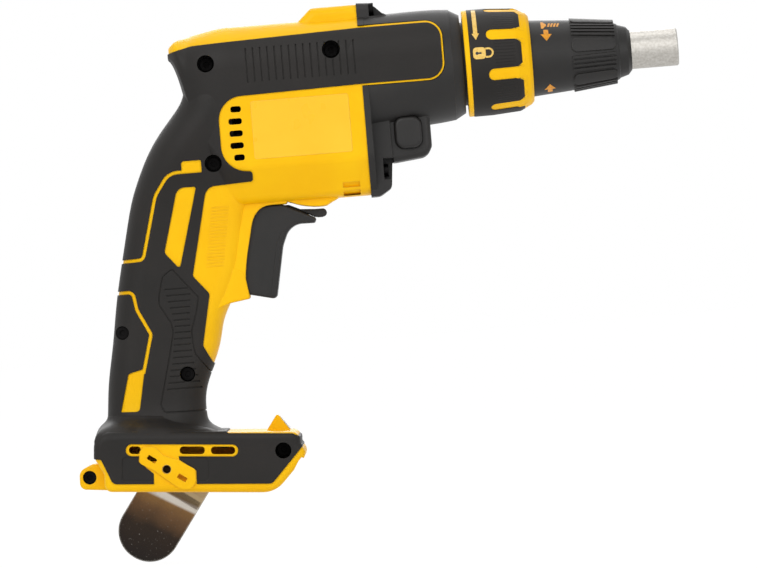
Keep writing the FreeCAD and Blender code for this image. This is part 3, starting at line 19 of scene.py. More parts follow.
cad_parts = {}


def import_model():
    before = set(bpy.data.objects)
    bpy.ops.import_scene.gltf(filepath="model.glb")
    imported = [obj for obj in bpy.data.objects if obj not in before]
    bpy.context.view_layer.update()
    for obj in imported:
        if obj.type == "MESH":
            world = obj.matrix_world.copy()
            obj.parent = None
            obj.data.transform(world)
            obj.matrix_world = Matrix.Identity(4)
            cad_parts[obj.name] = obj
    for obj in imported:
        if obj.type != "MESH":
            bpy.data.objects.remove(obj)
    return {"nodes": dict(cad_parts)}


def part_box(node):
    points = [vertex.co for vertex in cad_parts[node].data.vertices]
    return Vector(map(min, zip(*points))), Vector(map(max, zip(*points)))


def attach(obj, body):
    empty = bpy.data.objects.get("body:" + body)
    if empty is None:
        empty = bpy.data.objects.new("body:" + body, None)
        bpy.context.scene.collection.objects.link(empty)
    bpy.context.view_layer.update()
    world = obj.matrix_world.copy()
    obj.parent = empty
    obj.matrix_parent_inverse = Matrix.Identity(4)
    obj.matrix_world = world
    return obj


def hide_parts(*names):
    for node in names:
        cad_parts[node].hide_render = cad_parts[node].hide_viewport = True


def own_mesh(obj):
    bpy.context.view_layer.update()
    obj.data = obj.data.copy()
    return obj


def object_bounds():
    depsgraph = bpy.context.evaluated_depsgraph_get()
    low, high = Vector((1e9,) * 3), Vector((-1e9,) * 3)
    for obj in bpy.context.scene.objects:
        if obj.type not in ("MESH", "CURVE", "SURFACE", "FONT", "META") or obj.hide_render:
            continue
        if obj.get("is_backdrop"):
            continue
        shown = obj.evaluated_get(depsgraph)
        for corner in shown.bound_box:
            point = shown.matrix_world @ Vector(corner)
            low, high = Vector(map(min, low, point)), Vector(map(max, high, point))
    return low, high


LOG = logging.getLogger("drywall_screwdriver")
MM = 0.001
Point = tuple[float, float]
Place = tuple[float, float, float]
Onto = Callable[[float, float, float], Vector]
Tree = bpy.types.NodeTree
Socket = bpy.types.NodeSocket
Node = bpy.types.Node
Piece = bpy.types.Object


class Side(Enum):
    """Which side of the tool a piece lies on; the value is the sign of Y."""

    RIGHT = -1
    LEFT = 1


def linear(hex_colour: str) -> tuple[float, float, float, float]:
    """Turn an sRGB hex value into a linear colour.

    Args:
        hex_colour: six digits, with or without a leading hash.

    Returns:
        Red, green, blue and alpha, linear.
    """
    digits = hex_colour.lstrip("#")
    parts = [int(digits[place:place + 2], 16) / 255 for place in (0, 2, 4)]
    red, green, blue = (part / 12.92 if part <= 0.04045 else ((part + 0.055) / 1.055) ** 2.4
                        for part in parts)
    return red, green, blue, 1.0


def per_metre(size_mm: float) -> float:
    """Pattern scale of a texture whose features are this many millimetres across."""
    return 1.0 / (size_mm * MM)


def add_node(tree: Tree, kind: str, settings: dict | None = None, stops: Sequence[tuple[float, str]] = (),
             **sockets: object) -> Node:
    """Add a node, with its settings and its inputs.

    Args:
        tree: the node tree that gets the node.
        kind: the node's type name.
        settings: attributes of the node itself.
        stops: for a colour ramp, places from 0 to 1 with their sRGB hex colours.
        sockets: values, or sockets and nodes to link, by the input's name with _ for a space, or by i and
            its number. A node gives the first of its outputs that is in use.

    Returns:
        The new node.
    """
    made = tree.nodes.new(kind)
    for name, value in (settings or {}).items():
        setattr(made, name, value)
    for index, (place, colour) in enumerate(stops):
        elements = made.color_ramp.elements
        element = elements[index] if index < len(elements) else elements.new(place)
        element.position = place
        element.color = linear(colour)
    for name, value in sockets.items():
        by_number = name[0] == "i" and name[1:].isdigit()
        socket = made.inputs[int(name[1:]) if by_number else name.replace("_", " ")]
        if isinstance(value, Node):
            value = next(output for output in value.outputs if output.enabled)
        if isinstance(value, Socket):
            tree.links.new(value, socket)
        else:
            socket.default_value = value
    return made


def new_tree(name: str) -> tuple[bpy.types.Material, Tree, Node]:
    """Make an empty material.

    Args:
        name: the material's name.

    Returns:
        The material, its node tree and its output node.
    """
    material = bpy.data.materials.new(name)
    material.use_nodes = True
    tree = material.node_tree
    tree.nodes.clear()
    return material, tree, tree.nodes.new("ShaderNodeOutputMaterial")


def off_middle(tree: Tree, value: Socket | Node, middle: float) -> Node:
    """Tell how far a value is from a middle, either way."""
    away = add_node(tree, "ShaderNodeMath", {"operation": "SUBTRACT"}, i0=value, i1=middle)
    return add_node(tree, "ShaderNodeMath", {"operation": "ABSOLUTE"}, i0=away)


def edge_wear_and_highlight(tree: Tree, reach_mm: float, most: float) -> tuple[Node, Node]:
    """Round a piece's edges to the eye and tell where they are paler: rubbed, and on a wide band a painted
    highlight.

    Args:
        tree: the node tree.
        reach_mm: how far from an edge it shows.
        most: the share of pale edge colour at the edge itself.

    Returns:
        Nodes of the rounded normal, and of a value from 0 on the faces to that share.
    """
    soft = add_node(tree, "ShaderNodeBevel", {"samples": 4}, Radius=reach_mm * MM)
    flat = add_node(tree, "ShaderNodeNewGeometry").outputs["Normal"]
    same = add_node(tree, "ShaderNodeVectorMath", {"operation": "DOT_PRODUCT"}, i0=soft, i1=flat)
    wear_and_highlight = add_node(tree, "ShaderNodeMapRange", Value=same, From_Min=0.80, From_Max=0.97, To_Min=most,
                    To_Max=0.0)
    return soft, wear_and_highlight


@dataclass(frozen=True)
class RoundLines:
    """Fine moulded lines along the spindle, evenly round it, on one stretch of X."""

    radius_mm: float
    pitch_mm: float
    depth_mm: float
    rear_mm: float
    front_mm: float
    fade_mm: float = 0.4

    def height(self, tree: Tree, place: Socket) -> Node:
        """Work out the lines' height.

        Args:
            tree: the node tree.
            place: object coordinates.

        Returns:
            A node whose value is 1 between the lines and 0 in them.
        """
        parts = add_node(tree, "ShaderNodeSeparateXYZ", Vector=place).outputs
        turn = add_node(tree, "ShaderNodeMath", {"operation": "ARCTAN2"}, i0=parts["Z"], i1=parts["Y"])
        count = round(2 * math.pi * self.radius_mm / self.pitch_mm)
        phase = add_node(tree, "ShaderNodeMath", {"operation": "MULTIPLY"}, i0=turn, i1=float(count))
        wave = add_node(tree, "ShaderNodeMath", {"operation": "COSINE"}, i0=phase)
        groove = add_node(tree, "ShaderNodeMapRange", Value=wave, From_Min=0.55, From_Max=0.95)
        off = off_middle(tree, parts["X"], (self.rear_mm + self.front_mm) / 2 * MM)
        reach = (self.front_mm - self.rear_mm) / 2 * MM
        inside = add_node(tree, "ShaderNodeMapRange", Value=off, From_Min=reach - self.fade_mm * MM,
                          From_Max=reach, To_Min=1.0, To_Max=0.0)
        cut = add_node(tree, "ShaderNodeMath", {"operation": "MULTIPLY"}, i0=groove, i1=inside)
        return add_node(tree, "ShaderNodeMath", {"operation": "SUBTRACT"}, i0=1.0, i1=cut)


@dataclass(frozen=True)
class Finish(ABC):
    """A material and how its surface was made, which its name tells."""

    name: str

    @abstractmethod
    def shader(self, tree: Tree, place: Socket) -> Node:
        """Add the finish's own nodes.

        Args:
            tree: the node tree.
            place: object coordinates.

        Returns:
            The shader node.
        """

    def material(self) -> bpy.types.Material:
        """Build the finish.

        Returns:
            Its material.
        """
        material, tree, output = new_tree(self.name)
        place = add_node(tree, "ShaderNodeTexCoord").outputs["Object"]
        tree.links.new(self.shader(tree, place).outputs["BSDF"], output.inputs["Surface"])
        return material


@dataclass(frozen=True)
class MouldedPlastic(Finish):
    """Injection-moulded plastic with a spark-eroded grain and pale edges: slightly rubbed, and a painted
    highlight where the band is wide.
    """

    colour: str
    shade: str
    edge: str
    roughness: float = 0.42
    grain_mm: float = 0.55
    grain_depth: float = 0.25
    cloud_mm: float = 22.0
    edge_mm: float = 0.5
    coat: float = 0.0
    gloss: float = 0.4
    lines: RoundLines | None = None

    def shader(self, tree: Tree, place: Socket) -> Node:
        """Add clouded colour, pale edges, the mould's grain and any lines.

        Args:
            tree: the node tree.
            place: object coordinates.

        Returns:
            The shader node.
        """
        cloud = add_node(tree, "ShaderNodeTexNoise", Vector=place, Scale=per_metre(self.cloud_mm), Detail=3.0)
        grain = add_node(tree, "ShaderNodeTexNoise", Vector=place, Scale=per_metre(self.grain_mm), Detail=2.0)
        # Pale edge colour: rubbed edges, and where the band is wide, as on the trigger, a painted highlight.
        soft, rub_and_highlight = edge_wear_and_highlight(tree, self.edge_mm, most=0.55)
        body = add_node(tree, "ShaderNodeValToRGB", stops=((0.3, self.shade), (0.7, self.colour)), Fac=cloud)
        wear_and_highlight = add_node(tree, "ShaderNodeMix", {"data_type": "RGBA"}, Factor=rub_and_highlight, A=body, B=linear(self.edge))
        sheen = add_node(tree, "ShaderNodeMapRange", Value=cloud, To_Min=self.roughness - 0.05,
                         To_Max=self.roughness + 0.07)
        bump = add_node(tree, "ShaderNodeBump", Strength=self.grain_depth, Distance=0.08 * MM, Height=grain,
                        Normal=soft)
        if self.lines:
            bump = add_node(tree, "ShaderNodeBump", Strength=0.7, Distance=self.lines.depth_mm * MM,
                            Height=self.lines.height(tree, place), Normal=bump)
        return add_node(tree, "ShaderNodeBsdfPrincipled", Base_Color=wear_and_highlight, Roughness=sheen, IOR=1.5,
                        Specular_IOR_Level=self.gloss, Coat_Weight=self.coat, Normal=bump)


@dataclass(frozen=True)
class WorkedMetal(Finish):
    """Bare or plated metal with fine tool marks or scratches drawn out along one axis."""

    colour: str
    shade: str
    roughness: float
    mark_mm: Place
    mark_depth: float = 0.15
    cloud_mm: float = 9.0
    edge_mm: float = 0.3

    def shader(self, tree: Tree, place: Socket) -> Node:
        """Add clouded colour and drawn-out marks.

        Args:
            tree: the node tree.
            place: object coordinates.

        Returns:
            The shader node.
        """
        drawn = add_node(tree, "ShaderNodeMapping", Vector=place,
                         Scale=[per_metre(width) for width in self.mark_mm])
        marks = add_node(tree, "ShaderNodeTexNoise", Vector=drawn, Scale=1.0, Detail=3.0)
        cloud = add_node(tree, "ShaderNodeTexNoise", Vector=place, Scale=per_metre(self.cloud_mm), Detail=4.0)
        soft = add_node(tree, "ShaderNodeBevel", {"samples": 4}, Radius=self.edge_mm * MM)
        bump = add_node(tree, "ShaderNodeBump", Strength=self.mark_depth, Distance=0.05 * MM, Height=marks,
                        Normal=soft)
        sheen = add_node(tree, "ShaderNodeMapRange", Value=marks, To_Min=self.roughness - 0.06,
                         To_Max=self.roughness + 0.10)
        body = add_node(tree, "ShaderNodeValToRGB", stops=((0.32, self.shade), (0.68, self.colour)),
                        Fac=cloud)
        return add_node(tree, "ShaderNodeBsdfPrincipled", Base_Color=body, Metallic=1.0, Roughness=sheen,
                        Normal=bump)


@dataclass(frozen=True)
class ReflectionPaintedPlate(Finish):
    """Polished spring steel with a painted reflection of dark surroundings, from straw at its bend to near
    black at its tip.

    A painted highlight lies across the bend. The paler rim is partly rubbed and partly painted highlight.
    """

    # Colour stops of the painted reflection, and one colour for bare flecks, the pale rim and the painted
    # highlight.
    painted_reflection: tuple[tuple[float, str], ...]
    bare_and_highlight: str
    lean_degrees: float
    tip_mm: float
    bend_mm: float
    # Level and half width of the painted highlight across the bend.
    bend_highlight_mm: float
    bend_highlight_half_mm: float
    drift_mm: float = 4.0
    cloud_mm: float = 9.0
    fleck_mm: float = 0.9
    rim_mm: float = 1.3

    def shader(self, tree: Tree, place: Socket) -> Node:
        """Add the painted reflection, bare flecks, the pale rim (rubbed, and painted highlight) and the
        painted highlight on the bend.

        Args:
            tree: the node tree.
            place: object coordinates.

        Returns:
            The shader node.
        """
        lean = math.radians(self.lean_degrees)
        level = add_node(tree, "ShaderNodeVectorMath", {"operation": "DOT_PRODUCT"}, i0=place,
                         i1=(math.sin(lean), 0.0, math.cos(lean)))
        cloud = add_node(tree, "ShaderNodeTexNoise", Vector=place, Scale=per_metre(self.cloud_mm), Detail=4.0)
        drift = add_node(tree, "ShaderNodeMapRange", Value=cloud, To_Min=-self.drift_mm * MM,
                         To_Max=self.drift_mm * MM)
        drifted = add_node(tree, "ShaderNodeMath", {"operation": "ADD"}, i0=level, i1=drift)
        share = add_node(tree, "ShaderNodeMapRange", Value=drifted, From_Min=self.tip_mm * MM,
                         From_Max=self.bend_mm * MM)
        # Painted reflection of dark surroundings: near black towards the tip, straw towards the bend.
        body = add_node(tree, "ShaderNodeValToRGB", stops=self.painted_reflection, Fac=share)
        specks = add_node(tree, "ShaderNodeTexNoise", Vector=place, Scale=per_metre(self.fleck_mm),
                          Detail=3.0)
        bare = add_node(tree, "ShaderNodeMapRange", Value=specks, From_Min=0.68, From_Max=0.76, To_Min=0.0,
                        To_Max=0.3)
        # Pale rim: partly a rubbed edge, partly a painted highlight.
        soft, rim = edge_wear_and_highlight(tree, self.rim_mm, most=0.8)
        # Painted highlight across the bend.
        bend = add_node(tree, "ShaderNodeMapRange", Value=off_middle(tree, level, self.bend_highlight_mm * MM),
                        From_Min=0.5 * self.bend_highlight_half_mm * MM, From_Max=self.bend_highlight_half_mm * MM,
                        To_Min=0.75, To_Max=0.0)
        rim_and_bend_highlight = add_node(tree, "ShaderNodeMath", {"operation": "MAXIMUM"}, i0=rim, i1=bend)
        clear = add_node(tree, "ShaderNodeMath", {"operation": "MAXIMUM"}, i0=rim_and_bend_highlight, i1=bare)
        wear_and_highlight = add_node(tree, "ShaderNodeMix", {"data_type": "RGBA"}, Factor=clear, A=body,
                        B=linear(self.bare_and_highlight))
        bump = add_node(tree, "ShaderNodeBump", Strength=0.12, Distance=0.05 * MM, Height=specks, Normal=soft)
        rough = add_node(tree, "ShaderNodeMapRange", Value=specks, To_Min=0.14, To_Max=0.30)
        return add_node(tree, "ShaderNodeBsdfPrincipled", Base_Color=wear_and_highlight, Metallic=1.0, Roughness=rough,
                        Normal=bump)


@dataclass(frozen=True)
class ClearLens(Finish):
    """Clear moulded polycarbonate with a faint frosting on its back."""

    colour: str
    frost_mm: float = 0.8

    def shader(self, tree: Tree, place: Socket) -> Node:
        """Add a clear body with uneven frost.

        Args:
            tree: the node tree.
            place: object coordinates.

        Returns:
            The shader node.
        """
        frost = add_node(tree, "ShaderNodeTexNoise", Vector=place, Scale=per_metre(self.frost_mm), Detail=2.0)
        rough = add_node(tree, "ShaderNodeMapRange", Value=frost, To_Min=0.06, To_Max=0.22)
        return add_node(tree, "ShaderNodeBsdfPrincipled", Base_Color=linear(self.colour), IOR=1.58,
                        Transmission_Weight=0.85, Roughness=rough)


@dataclass(frozen=True)
class PrintedMark(Finish):
    """Pad-printed ink: even, slightly glossy, a little thin in places."""

    colour: str
    shade: str
    thin_mm: float = 1.2

    def shader(self, tree: Tree, place: Socket) -> Node:
        """Add ink with thin places.

        Args:
            tree: the node tree.
            place: object coordinates.

        Returns:
            The shader node.
        """
        thin = add_node(tree, "ShaderNodeTexNoise", Vector=place, Scale=per_metre(self.thin_mm), Detail=4.0)
        body = add_node(tree, "ShaderNodeValToRGB", stops=((0.35, self.shade), (0.6, self.colour)), Fac=thin)
        bump = add_node(tree, "ShaderNodeBump", Strength=0.1, Distance=0.02 * MM, Height=thin)
        return add_node(tree, "ShaderNodeBsdfPrincipled", Base_Color=body, Roughness=0.38, IOR=1.5,
                        Normal=bump)


# Glass-filled nylon, moulded in yellow: satin, a warm tone that pales along handled edges.
YELLOW_NYLON = MouldedPlastic("yellow_moulded_nylon", "#F8C104", "#F3B700", "#FFD042", gloss=0.15)
# Thermoplastic elastomer overmould: matt charcoal, dry to the eye, edges rubbed a little grey.
BLACK_ELASTOMER = MouldedPlastic("black_elastomer_overmould", "#211E1C", "#1A1816", "#3B3936", roughness=0.56,
                                 grain_mm=0.7, grain_depth=0.4, gloss=0.25)
# The same elastomer on the collar's grips, with fine lines along them.
LINED_ELASTOMER = replace(BLACK_ELASTOMER, name="lined_elastomer_grip",
                          lines=RoundLines(radius_mm=26.5, pitch_mm=1.6, depth_mm=0.35, rear_mm=-92.0,
                                           front_mm=-81.5))
# Glass-filled nylon, moulded in black: a shade lighter and shinier than the overmould.
BLACK_NYLON = MouldedPlastic("black_moulded_nylon", "#232120", "#1C1B1A", "#474542", roughness=0.45,
                             grain_mm=0.6, grain_depth=0.35, gloss=0.32)
# The same nylon on the trigger, whose edges are moulded round. The paler edge colour over that wider band is
# a painted highlight along the edges.
TRIGGER_NYLON = replace(BLACK_NYLON, name="black_trigger_nylon", edge_mm=1.8)
# Potting resin of the motor controller: dark grey and glossy.
GREY_RESIN = MouldedPlastic("potting_resin", "#2F3236", "#26282B", "#4A4D50", roughness=0.3)
# Fibreglass board with its green lacquer.
BOARD = MouldedPlastic("lacquered_circuit_board", "#1F6A3A", "#175530", "#6FA07F", roughness=0.3)
# Vinyl rating plate: a paler, glossier yellow film.
LABEL_FILM = MouldedPlastic("vinyl_label_film", "#F6C324", "#F4BE1C", "#FFDF7A", roughness=0.28, grain_mm=1.6,
                            grain_depth=0.06, coat=0.2, gloss=0.3)
# Steel nose tube, turned and blasted: grey with a fine speckle.
NOSE_STEEL = WorkedMetal("blasted_turned_steel", "#C6C3BD", "#AFABA4", 0.40, (0.7, 1.2, 1.2), mark_depth=0.3,
                         cloud_mm=1.3)
# Nickel-plated spring steel, polished: mirrors its surroundings. A painted reflection of dark surroundings
# runs from near black at the tip to straw at the bend, with a painted highlight across the bend and rub
# marks.
HOOK_STEEL = ReflectionPaintedPlate("polished_plated_spring_steel",
                         ((0.0, "#2B2725"), (0.42, "#352D27"), (0.66, "#644B35"), (0.85, "#86653F"),
                          (1.0, "#A5906F")),
                         "#D6D1C8", lean_degrees=30.0, tip_mm=-349.0, bend_mm=-310.0, bend_highlight_mm=-314.6,
                         bend_highlight_half_mm=2.6)
# Black-oxide screws: dark blue-grey steel.
OXIDE_STEEL = WorkedMetal("black_oxide_steel", "#1D1C1C", "#131212", 0.42, (0.4, 0.4, 0.4))
# Ground steel of spindle, gears and bearings.
GROUND_STEEL = WorkedMetal("ground_steel", "#B4B5B6", "#98999B", 0.26, (0.25, 2.0, 2.0))
# Spring wire, drawn and stress relieved: straw grey.
SPRING_WIRE = WorkedMetal("drawn_spring_wire", "#A59F94", "#8B857B", 0.3, (0.3, 0.3, 2.0))
# Stacked electrical steel: dull, lined by its laminations.
LAMINATED_STEEL = WorkedMetal("laminated_electrical_steel", "#7D7F82", "#63656A", 0.5, (0.5, 20.0, 20.0),
                              mark_depth=0.8)
# Sintered bronze: dull gold, porous.
SINTERED_BRONZE = WorkedMetal("sintered_bronze", "#B08A4E", "#94713C", 0.48, (0.3, 0.3, 0.3), mark_depth=0.5)
# Turned brass of inserts and terminals.
TURNED_BRASS = WorkedMetal("turned_brass", "#D2B064", "#B8944C", 0.27, (0.3, 2.0, 0.3))
# Enamelled copper: orange brown and glossy.
ENAMELLED_COPPER = WorkedMetal("enamelled_copper_wire", "#B5652F", "#8E4A20", 0.3, (8.0, 0.6, 0.6),
                               mark_depth=0.9)
# Die-cast aluminium cover: light grey, faintly mottled.
DIE_CAST = WorkedMetal("die_cast_aluminium", "#BDBEC0", "#A3A5A8", 0.45, (1.0, 1.0, 1.0), mark_depth=0.4)
# Clear polycarbonate, moulded: bright edges, a slight frost behind.
LENS = ClearLens("clear_polycarbonate", "#F2F5F6")
# Inks of the printed signs.
CREAM_INK = PrintedMark("cream_pad_print", "#EBC566", "#DDB04C")
AMBER_INK = PrintedMark("amber_pad_print", "#E2960C", "#C98207")
DARK_INK = PrintedMark("charcoal_pad_print", "#2A2725", "#1E1C1B")


class Paintbox:
    """Keeps one material for each finish."""

    def __init__(self) -> None:
        """Start with no material."""
        self.made: dict[str, bpy.types.Material] = {}

    def material(self, finish: Finish) -> bpy.types.Material:
        """Give the material of a finish, made on its first use.

        Args:
            finish: the finish to look up.

        Returns:
            Its material.
        """
        if finish.name not in self.made:
            self.made[finish.name] = finish.material()
        return self.made[finish.name]

    def dress(self, piece: Piece, finish: Finish) -> None:
        """Put one finish on a whole piece."""
        piece.data.materials.clear()
        piece.data.materials.append(self.material(finish))


class Drape:
    """Lays flat outlines on the solids, seen from the side or from round the spindle axis.

    Its constants say in metres how far out rays start, and how far from a path its two rays run in case
    one of them lies along an edge of faces.
    """

    FAR: ClassVar[float] = 0.2
    OUTSIDE: ClassVar[float] = 0.1
    ABOVE: ClassVar[float] = 0.02
    SLIP: ClassVar[float] = 0.05 * MM

    def __init__(self, nodes: Iterable[Piece]) -> None:
        """Gather the faces of the solids that carry the outlines.

        Args:
            nodes: mesh objects at the origin.
        """
        corners: list[Vector] = []
        faces: list[tuple[int, ...]] = []
        for node in nodes:
            start = len(corners)
            corners += [vertex.co.copy() for vertex in node.data.vertices]
            faces += [tuple(start + index for index in face.vertices) for face in node.data.polygons]
        self.tree = BVHTree.FromPolygons(corners, faces)

    def meet(self, start: Vector, way: Vector) -> Vector:
        """Find where a ray meets the solids.

        Args:
            start: where the ray starts, in metres.
            way: its direction.

        Returns:
            The first place on their surface.

        Raises:
            ValueError: if the ray misses them.
        """
        hit = self.tree.ray_cast(start, way)[0]
        if hit is None:
            raise ValueError(f"no surface on the way from {start}")
        return hit

    def from_side(self, side: Side) -> Onto:
        """Project along Y.

        Args:
            side: the side that the outline is seen from.

        Returns:
            A function of X and Z in millimetres and a lift off the surface.
        """
        out = Vector((0, side.value, 0))

        def onto(x: float, z: float, lift: float) -> Vector:
            """Lay one point on the surface."""
            return self.meet(Vector((x * MM, 0, z * MM)) + out * self.FAR, -out) + out * (lift * MM)
        return onto

    def round_axis(self, radius: float) -> Onto:
        """Project towards the spindle axis.

        Args:
            radius: nominal radius in millimetres that turns arc length into an angle.

        Returns:
            A function of X, arc length from the tool's right (-Y) towards +Z and a lift off the surface,
            in millimetres.
        """
        def onto(x: float, arc: float, lift: float) -> Vector:
            """Lay one point on the surface."""
            out = Vector((0, -math.cos(arc / radius), math.sin(arc / radius)))
            return self.meet(Vector((x * MM, 0, 0)) + out * self.OUTSIDE, -out) + out * (lift * MM)
        return onto

    def front(self, height: float, across: float) -> float:
        """Find the foremost X at a height and a place across, in millimetres."""
        return self.meet(Vector((self.OUTSIDE, across * MM, height * MM)), Vector((-1, 0, 0))).x / MM

    def inward(self, middle: Vector, out: Vector, height: float) -> Vector:
        """Find the surface on the way from far outside to an upright axis.

        Args:
            middle: a point of the axis, in metres.
            out: level direction away from it.
            height: Z of the path, in metres.

        Returns:
            The place that is met first.
        """
        starts = [Vector((middle.x, middle.y, height + shift)) + out * self.OUTSIDE
                  for shift in (-self.SLIP, self.SLIP)]
        hits = [self.tree.ray_cast(start, -out)[0] for start in starts]
        return max((hit for hit in hits if hit), key=lambda hit: (hit - middle).dot(out))

    def over(self, place: Vector, out: Vector, lift: float) -> Vector:
        """Keep a place over the surface.

        Args:
            place: the place, in metres.
            out: the direction to move it in.
            lift: least height over the surface along that direction, in metres.

        Returns:
            The place itself, or the nearest one that is high enough.
        """
        hit = self.tree.ray_cast(place + out * self.ABOVE, -out)[0]
        short = lift - (place - hit).dot(out) if hit else 0.0
        return place + out * max(short, 0.0)


def round_points(centre: Point, radius: float, turns: Iterable[float]) -> list[Point]:
    """Points at some angles, in radians, round a centre."""
    return [(centre[0] + radius * math.cos(turn), centre[1] + radius * math.sin(turn)) for turn in turns]


def rounded_box(low: Point, high: Point, radius: float, steps: int = 5) -> list[Point]:
    """Outline of a rectangle with round corners.

    Args:
        low: lowest corner.
        high: highest corner.
        radius: corner radius.
        steps: parts of each corner.

    Returns:
        The corners.
    """
    outline: list[Point] = []
    centres = [(high[0] - radius, high[1] - radius), (low[0] + radius, high[1] - radius),
               (low[0] + radius, low[1] + radius), (high[0] - radius, low[1] + radius)]
    for quarter, centre in enumerate(centres):
        turns = (math.pi / 2 * (quarter + step / steps) for step in range(steps + 1))
        outline += round_points(centre, radius, turns)
    return outline


def arc_band(centre: Point, radius: float, width: float, first: float, last: float,
             count: int = 14) -> list[Point]:
    """Outline of a bent strip.

    Args:
        centre: middle of the bend.
        radius: middle radius.
        width: the strip's width.
        first: first angle in degrees.
        last: last angle in degrees.
        count: parts along the strip.

    Returns:
        The corners.
    """
    turns = [math.radians(first + (last - first) * index / count) for index in range(count + 1)]
    return (round_points(centre, radius + width / 2, turns)
            + round_points(centre, radius - width / 2, turns)[::-1])


def as_object(name: str, solid: bmesh.types.BMesh) -> Piece:
    """Turn a finished mesh into an object of the scene.

    Args:
        name: the object's name.
        solid: the closed mesh, which is freed.

    Returns:
        The mesh object.
    """
    bmesh.ops.recalc_face_normals(solid, faces=solid.faces)
    mesh = bpy.data.meshes.new(name)
    solid.to_mesh(mesh)
    solid.free()
    piece = bpy.data.objects.new(name, mesh)
    bpy.context.scene.collection.objects.link(piece)
    return piece


def flat_cells(outlines: Sequence[Sequence[Point]], cell: float) -> bmesh.types.BMesh:
    """Cut flat outlines up into small faces that look up.

    Args:
        outlines: flat outlines, in millimetres.
        cell: distance of the cuts, in millimetres.

    Returns:
        The flat mesh.
    """
    flat = bmesh.new()
    for outline in outlines:
        flat.faces.new([flat.verts.new((u, v, 0)) for u, v in outline])
    bmesh.ops.recalc_face_normals(flat, faces=flat.faces)
    for face in flat.faces:
        if face.normal.z < 0:
            face.normal_flip()
    for axis, normal in enumerate((Vector((1, 0, 0)), Vector((0, 1, 0)))):
        reach = [corner[axis] for outline in outlines for corner in outline]
        low, high = min(reach), max(reach)
        for step in range(1, int((high - low) / cell) + 1):
            bmesh.ops.bisect_plane(flat, geom=flat.verts[:] + flat.edges[:] + flat.faces[:],
                                   plane_co=normal * (low + step * cell), plane_no=normal, dist=1e-5)
    return flat


def plate_mesh(name: str, outlines: Sequence[Sequence[Point]], onto: Onto, lift: float, sink: float,
               cell: float = 1.0) -> Piece:
    """Make thin plates that follow a surface.

    Args:
        name: the object's name.
        outlines: flat outlines, in millimetres.
        onto: gives the place of a flat point at a lift off the surface.
        lift: height of the plates' top over the surface, in millimetres.
        sink: depth of their bottom under it.
        cell: longest edge after cutting the plates up, in millimetres.

    Returns:
        The mesh object.
    """
    flat = flat_cells(outlines, cell)
    solid = bmesh.new()
    upper, lower = ({vertex: solid.verts.new(onto(vertex.co.x, vertex.co.y, height)) for vertex in flat.verts}
                    for height in (lift, -sink))
    for face in flat.faces:
        solid.faces.new([upper[vertex] for vertex in face.verts])
        solid.faces.new([lower[vertex] for vertex in reversed(face.verts[:])])
    for edge in flat.edges:
        if len(edge.link_faces) == 1:
            first, second = edge.verts
            solid.faces.new([upper[first], upper[second], lower[second], lower[first]])
    flat.free()
    return as_object(name, solid)


def side_slabs(name: str, outline: Sequence[Point], spans: Sequence[Point],
               soft: float = 0.0) -> Piece:
    """Make flat pieces square to Y, with soft rims.

    Args:
        name: the object's name.
        outline: their side-view outline in X and Z, in millimetres.
        spans: first and last Y of each piece.
        soft: radius of the rims.

    Returns:
        The mesh object.
    """
    solid = bmesh.new()
    for first, last in spans:
        face = solid.faces.new([solid.verts.new((x * MM, first * MM, z * MM)) for x, z in outline])
        grown = bmesh.ops.extrude_face_region(solid, geom=[face])["geom"]
        lifted = [item for item in grown if isinstance(item, bmesh.types.BMVert)]
        bmesh.ops.translate(solid, verts=lifted, vec=(0, (last - first) * MM, 0))
    if soft:
        rims = [edge for edge in solid.edges if abs(edge.verts[0].co.y - edge.verts[1].co.y) < 1e-7]
        bmesh.ops.bevel(solid, geom=rims, offset=soft * MM, segments=2, profile=0.5, affect="EDGES")
    return as_object(name, solid)


def ring_slabs(name: str, outer: Sequence[Point], inner: Sequence[Point],
               spans: Sequence[Point]) -> Piece:
    """Make flat rings square to Y.

    Args:
        name: the object's name.
        outer: outer side-view outline in X and Z, in millimetres.
        inner: inner outline, with as many corners.
        spans: lowest and highest Y of each ring.

    Returns:
        The mesh object.
    """
    solid = bmesh.new()
    for low, high in spans:
        loops = [[solid.verts.new((x * MM, y * MM, z * MM)) for x, z in outline]
                 for outline, y in ((outer, low), (outer, high), (inner, high), (inner, low))]
        for first, second in zip(loops, loops[1:] + loops[:1]):
            for index in range(len(outer)):
                after = (index + 1) % len(outer)
                solid.faces.new([first[index], first[after], second[after], second[index]])
    return as_object(name, solid)


@dataclass
class Shop:
    """What every sub-assembly needs: the frame's nodes, the finishes and a way to add pieces."""

    nodes: dict[str, Piece]
    paint: Paintbox = field(default_factory=Paintbox)

    def finish_nodes(self, finish: Finish, *names: str) -> None:
        """Put a finish on solids that keep their own mesh.

        Args:
            finish: what they are made of.
            names: the nodes' names.
        """
        for name in names:
            self.paint.dress(self.nodes[name], finish)
            LOG.info("%s: %s", name, finish.name)

    def drape(self, *names: str) -> Drape:
        """Give a drape over some nodes."""
        return Drape(self.nodes[name] for name in names)

    def add(self, piece: Piece, body: str, slot: str, finish: Finish) -> None:
        """Dress a new piece and let it ride.

        Args:
            piece: the mesh object.
            body: the body it moves with.
            slot: not used. the record's material slot.
            finish: what it is made of.
        """
        self.paint.dress(piece, finish)
        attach(piece, body)
        LOG.info("%s: %s on %s", piece.name, finish.name, body)


